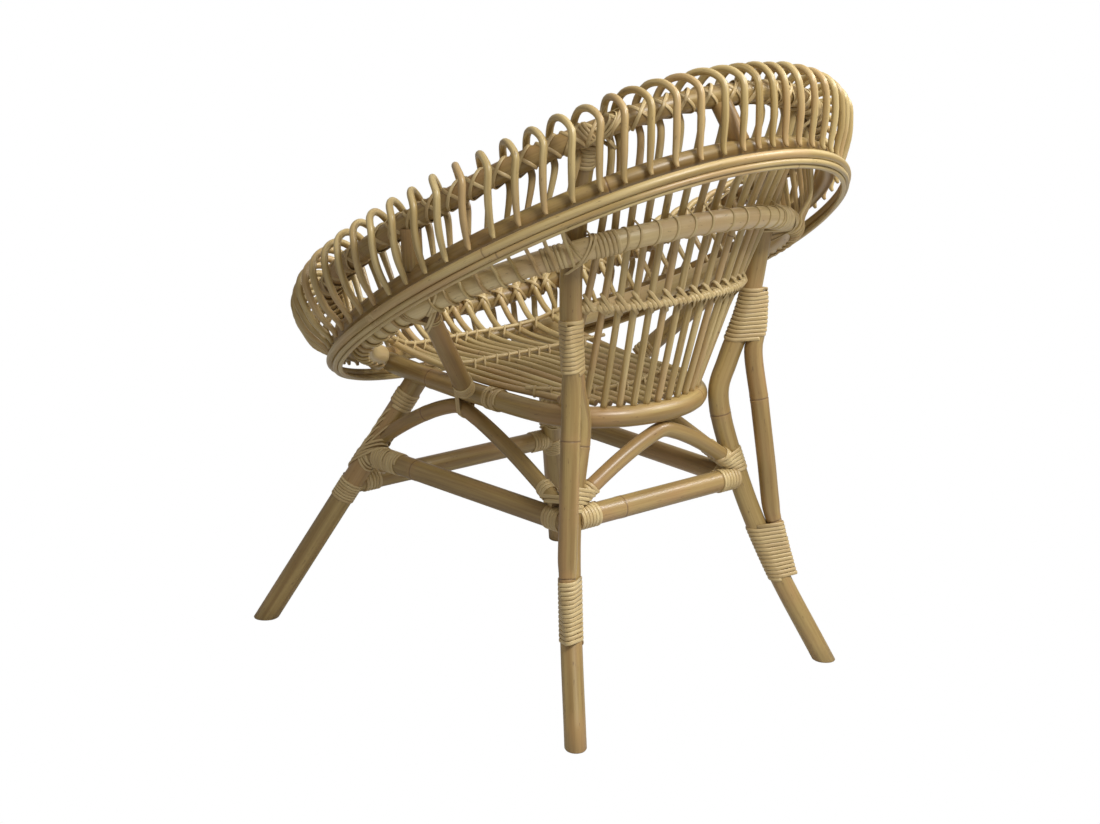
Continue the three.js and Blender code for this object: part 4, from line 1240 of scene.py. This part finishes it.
def addRimLash(shape, track, angle, seed):
    angle = crossingAngle(angle)
    origin = rim.point(angle, -insideRim * rimLash["insideShare"])
    for way, lift in ((1, cane["lift"]), (-1, rimLash["lift"])):
        tilt = degrees(rimLash["lean"]) * way
        direction = rim.along(angle) * math.cos(tilt) + rim.normal * math.sin(tilt)
        poles = [rimTrack, track]
        addTurn(shape, poles, origin, direction, rimLash["width"], rimLash["thick"], seed + way, lift=lift)


def addRimLashes(shape, tracks, angles, seed):
    for i, (track, angle) in enumerate(zip(tracks, angles)):
        addRimLash(shape, track, angle, seed + 3 * i)


shape = newShape()
addRimLashes(shape, backTracks, backAngles, 400)
addRimLashes(shape, seatTracks, seatAngles, 450)
makePiece("rimLashings", shape, "cane")
shape = newShape()
addRimLashes(shape, sideTracks, sideAngles, 500)
makePair("sideRimLashings", shape, "cane")

# Post tops and the mid rail
railJoint = {
    "postWrap": 19, "postTurns": 5.5, "rimIn": 8, "rimStrands": 3,
    "railIn": 13, "railStrands": 2, "railLean": 0.7,
    "wraps": ((46.6, 5), (59.6, 6)),  # degrees round the rail, and turns
}
shape = newShape()
place = crossing(postPlaces, postTop - railJoint["postWrap"])
wrapRun(shape, [postTrack], place, railJoint["postTurns"], 601)
place = rim.point(degrees(post["topAngle"]), -railJoint["rimIn"])
crossLash(shape, rimTrack, postTrack, place, railJoint["rimStrands"], 603)
place = rail.point(degrees(post["railAngle"]), -railJoint["railIn"])
crossLash(shape, railTrack, postTrack, place, railJoint["railStrands"], 606, railJoint["railLean"])
for i, (angle, turns) in enumerate(railJoint["wraps"]):
    wrapRun(shape, [railTrack], rail.point(degrees(angle)), turns, 610 + i)
makePair("postLashings", shape, "cane")

# One turn of cane ties each back rod but the outermost two to the mid rail
railTie = {"width": 3.6, "thick": 1.2, "lean": 0.3}


def nearest(places, spot):
    return min(places, key=lambda place: (place - spot).length)


shape = newShape()
for i, track in enumerate(backTracks[1:-1]):
    place = min(innerHalf(track), key=lambda spot: (nearest(railPlaces, spot) - spot).length)
    onRail = nearest(railPlaces, place)
    direction = directionAt(railTrack, onRail) + directionAt(track, place) * railTie["lean"]
    addTurn(shape, [railTrack, track], onRail, direction, railTie["width"], railTie["thick"], 630 + i)
makePiece("railTies", shape, "cane")

# Leg and stretcher joints
legJoint = {
    "sideStrands": 4, "sideReach": 28, "sideShares": (0.078, 0.145), "sideTurns": 5,
    "archRise": 6, "archStrands": 5, "frontIn": 30, "frontTurns": 4.5,
    "lowHeight": 193, "lowTurns": 7, "lowPitch": 4.2, "lowWidth": 4, "highHeight": 322, "highTurns": 4.5,
}
shape = newShape()
crossLash(
    shape, legTrack, sideStretcherTrack, legAtSide, legJoint["sideStrands"], 640, reach=legJoint["sideReach"],
)
place = crossing(legPlaces, arch["foot"] + legJoint["archRise"])
crossLash(shape, legTrack, sideArchTrack, place, legJoint["archStrands"], 643, ways=(-1,))
wrapRun(
    shape, [legTrack], crossing(legPlaces, legJoint["lowHeight"]), legJoint["lowTurns"], 652,
    legJoint["lowPitch"], legJoint["lowWidth"],
)
for i, share in enumerate(legJoint["sideShares"]):
    wrapRun(shape, [sideStretcherTrack], legAtSide.lerp(postAtSide, share), legJoint["sideTurns"], 648 + i)
place = legAtFront - Vector((legJoint["frontIn"], 0, 0))
wrapRun(shape, [frontStretcherTrack], place, legJoint["frontTurns"], 650)
wrapRun(shape, [legTrack], crossing(legPlaces, legJoint["highHeight"]), legJoint["highTurns"], 651)
makePair("legLashings", shape, "cane")

# Rear corners
cornerJoint = {
    "sideShare": 0.06, "sideTurns": 5, "rearIn": 25, "rearTurns": 6, "postHeight": 270, "postTurns": 6,
    "postReach": 34, "archFromEnd": 5, "archTurns": 3.5,
}
shape = newShape()
place = postAtSide.lerp(legAtSide, cornerJoint["sideShare"])
wrapRun(shape, [sideStretcherTrack], place, cornerJoint["sideTurns"], 666)
place = postAtRear - Vector((cornerJoint["rearIn"], 0, 0))
wrapRun(shape, [rearStretcherTrack], place, cornerJoint["rearTurns"], 667)
place = crossing(postPlaces, cornerJoint["postHeight"])
corner = [postTrack, sideArchTrack, rearArchTrack]
wrapRun(shape, corner, place, cornerJoint["postTurns"], 668, reach=cornerJoint["postReach"])
for seed, track in ((669, sideArchTrack), (670, rearArchTrack)):
    wrapRun(shape, [track], track["places"][-cornerJoint["archFromEnd"]], cornerJoint["archTurns"], seed)
makePair("cornerLashings", shape, "cane")

# Seat pole: ties to the arches and struts, and wraps of its own
seatTie = {
    "pitch": 4.6, "width": 4.4, "thick": 1.4, "crown": (0, 12, 8), "crownTurns": 2.5,
    "sideShare": 0.33, "sideBacks": (26, 40), "sideTurns": 2.2,
    "strutStrands": 3, "strutShare": 0.07, "strutTurns": 4, "strutReach": 32,
}
shape = newShape()
addWind(
    shape, [seatTrack, sideArchTrack], sideCrown + Vector(seatTie["crown"]), Vector((0, 1, 0)),
    seatTie["crownTurns"], seatTie["pitch"], seatTie["width"], seatTie["thick"], 680,
)
for i, back in enumerate(seatTie["sideBacks"]):
    place = seatSide(seatTie["sideShare"]) + Vector((0, back, 0))
    wrapRun(shape, [seatTrack], place, seatTie["sideTurns"], 682 + i, seatTie["pitch"], seatTie["width"])
crossLash(shape, strutTrack, railTrack, strutHigh, seatTie["strutStrands"], 685)
place = strutLow.lerp(strutHigh, seatTie["strutShare"])
wrapRun(shape, [strutTrack, seatTrack], place, seatTie["strutTurns"], 686, reach=seatTie["strutReach"])
makePair("seatPoleTies", shape, "cane")
print("bindings ready")

# Strips woven across the back and the seat
weave = {
    "back": {"core": 4, "width": 5, "turns": 3}, "seat": {"core": 2.6, "width": 3.2, "turns": 1},
    "backHeight": 511, "seatShares": (0.02, 0.36, 0.86), "sink": 0.6, "tailShare": 0.6, "thick": 1.1,
    "slant": 0.75, "spacing": 1.04, "lift": 0.2, "reach": 20, "step": 5, "seatStep": 6, "sides": 12,
}


def addStrip(shape, tracks, spots, away, strip, seed):
    # a strand across the rods' outer side, bound to each rod by slanting turns
    points = [spot + away * (rod["radius"] + strip["core"] - weave["sink"]) for spot in spots]
    tail = weave["tailShare"]
    points.insert(0, points[0] * (1 + tail) - points[1] * tail)
    points.append(points[-1] * (1 + tail) - points[-2] * tail)
    coreTrack = addPole(shape, spline(points, weave["step"])[0], weave, seed, strip["core"])
    for i, (track, spot) in enumerate(zip(tracks, spots)):
        along, up = directionAt(coreTrack, spot), directionAt(track, spot)
        up = up if up.z > up.y else -up
        place = spot + away * rod["radius"]
        for turn in range(strip["turns"]):
            start = (turn - (strip["turns"] - 1) / 2) * strip["width"] * weave["spacing"]
            addTurn(
                shape, [coreTrack, track], place, along + up * weave["slant"], strip["width"], weave["thick"],
                seed + 5 * i, start, weave["lift"], weave["reach"],
            )


shape = newShape()
spots = [crossing(innerHalf(track), weave["backHeight"]) for track in backTracks]
addStrip(shape, backTracks, spots, Vector((0, 1, 0)), weave["back"], 700)
makePiece("backWeave", shape, "cane")

shape = newShape()
lines = [spline(line, weave["seatStep"])[0] for line in seatLines]
for row, share in enumerate(weave["seatShares"]):
    spots = [line[round(share * (len(line) - 1))] for line in lines]
    addStrip(shape, seatTracks, spots, zAxis, weave["seat"], 800 + 100 * row)
makePiece("seatWeave", shape, "cane")
print("weaves ready")

size = {"cad": [list(corner) for corner in cadBox], "visual": [list(corner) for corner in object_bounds()]}
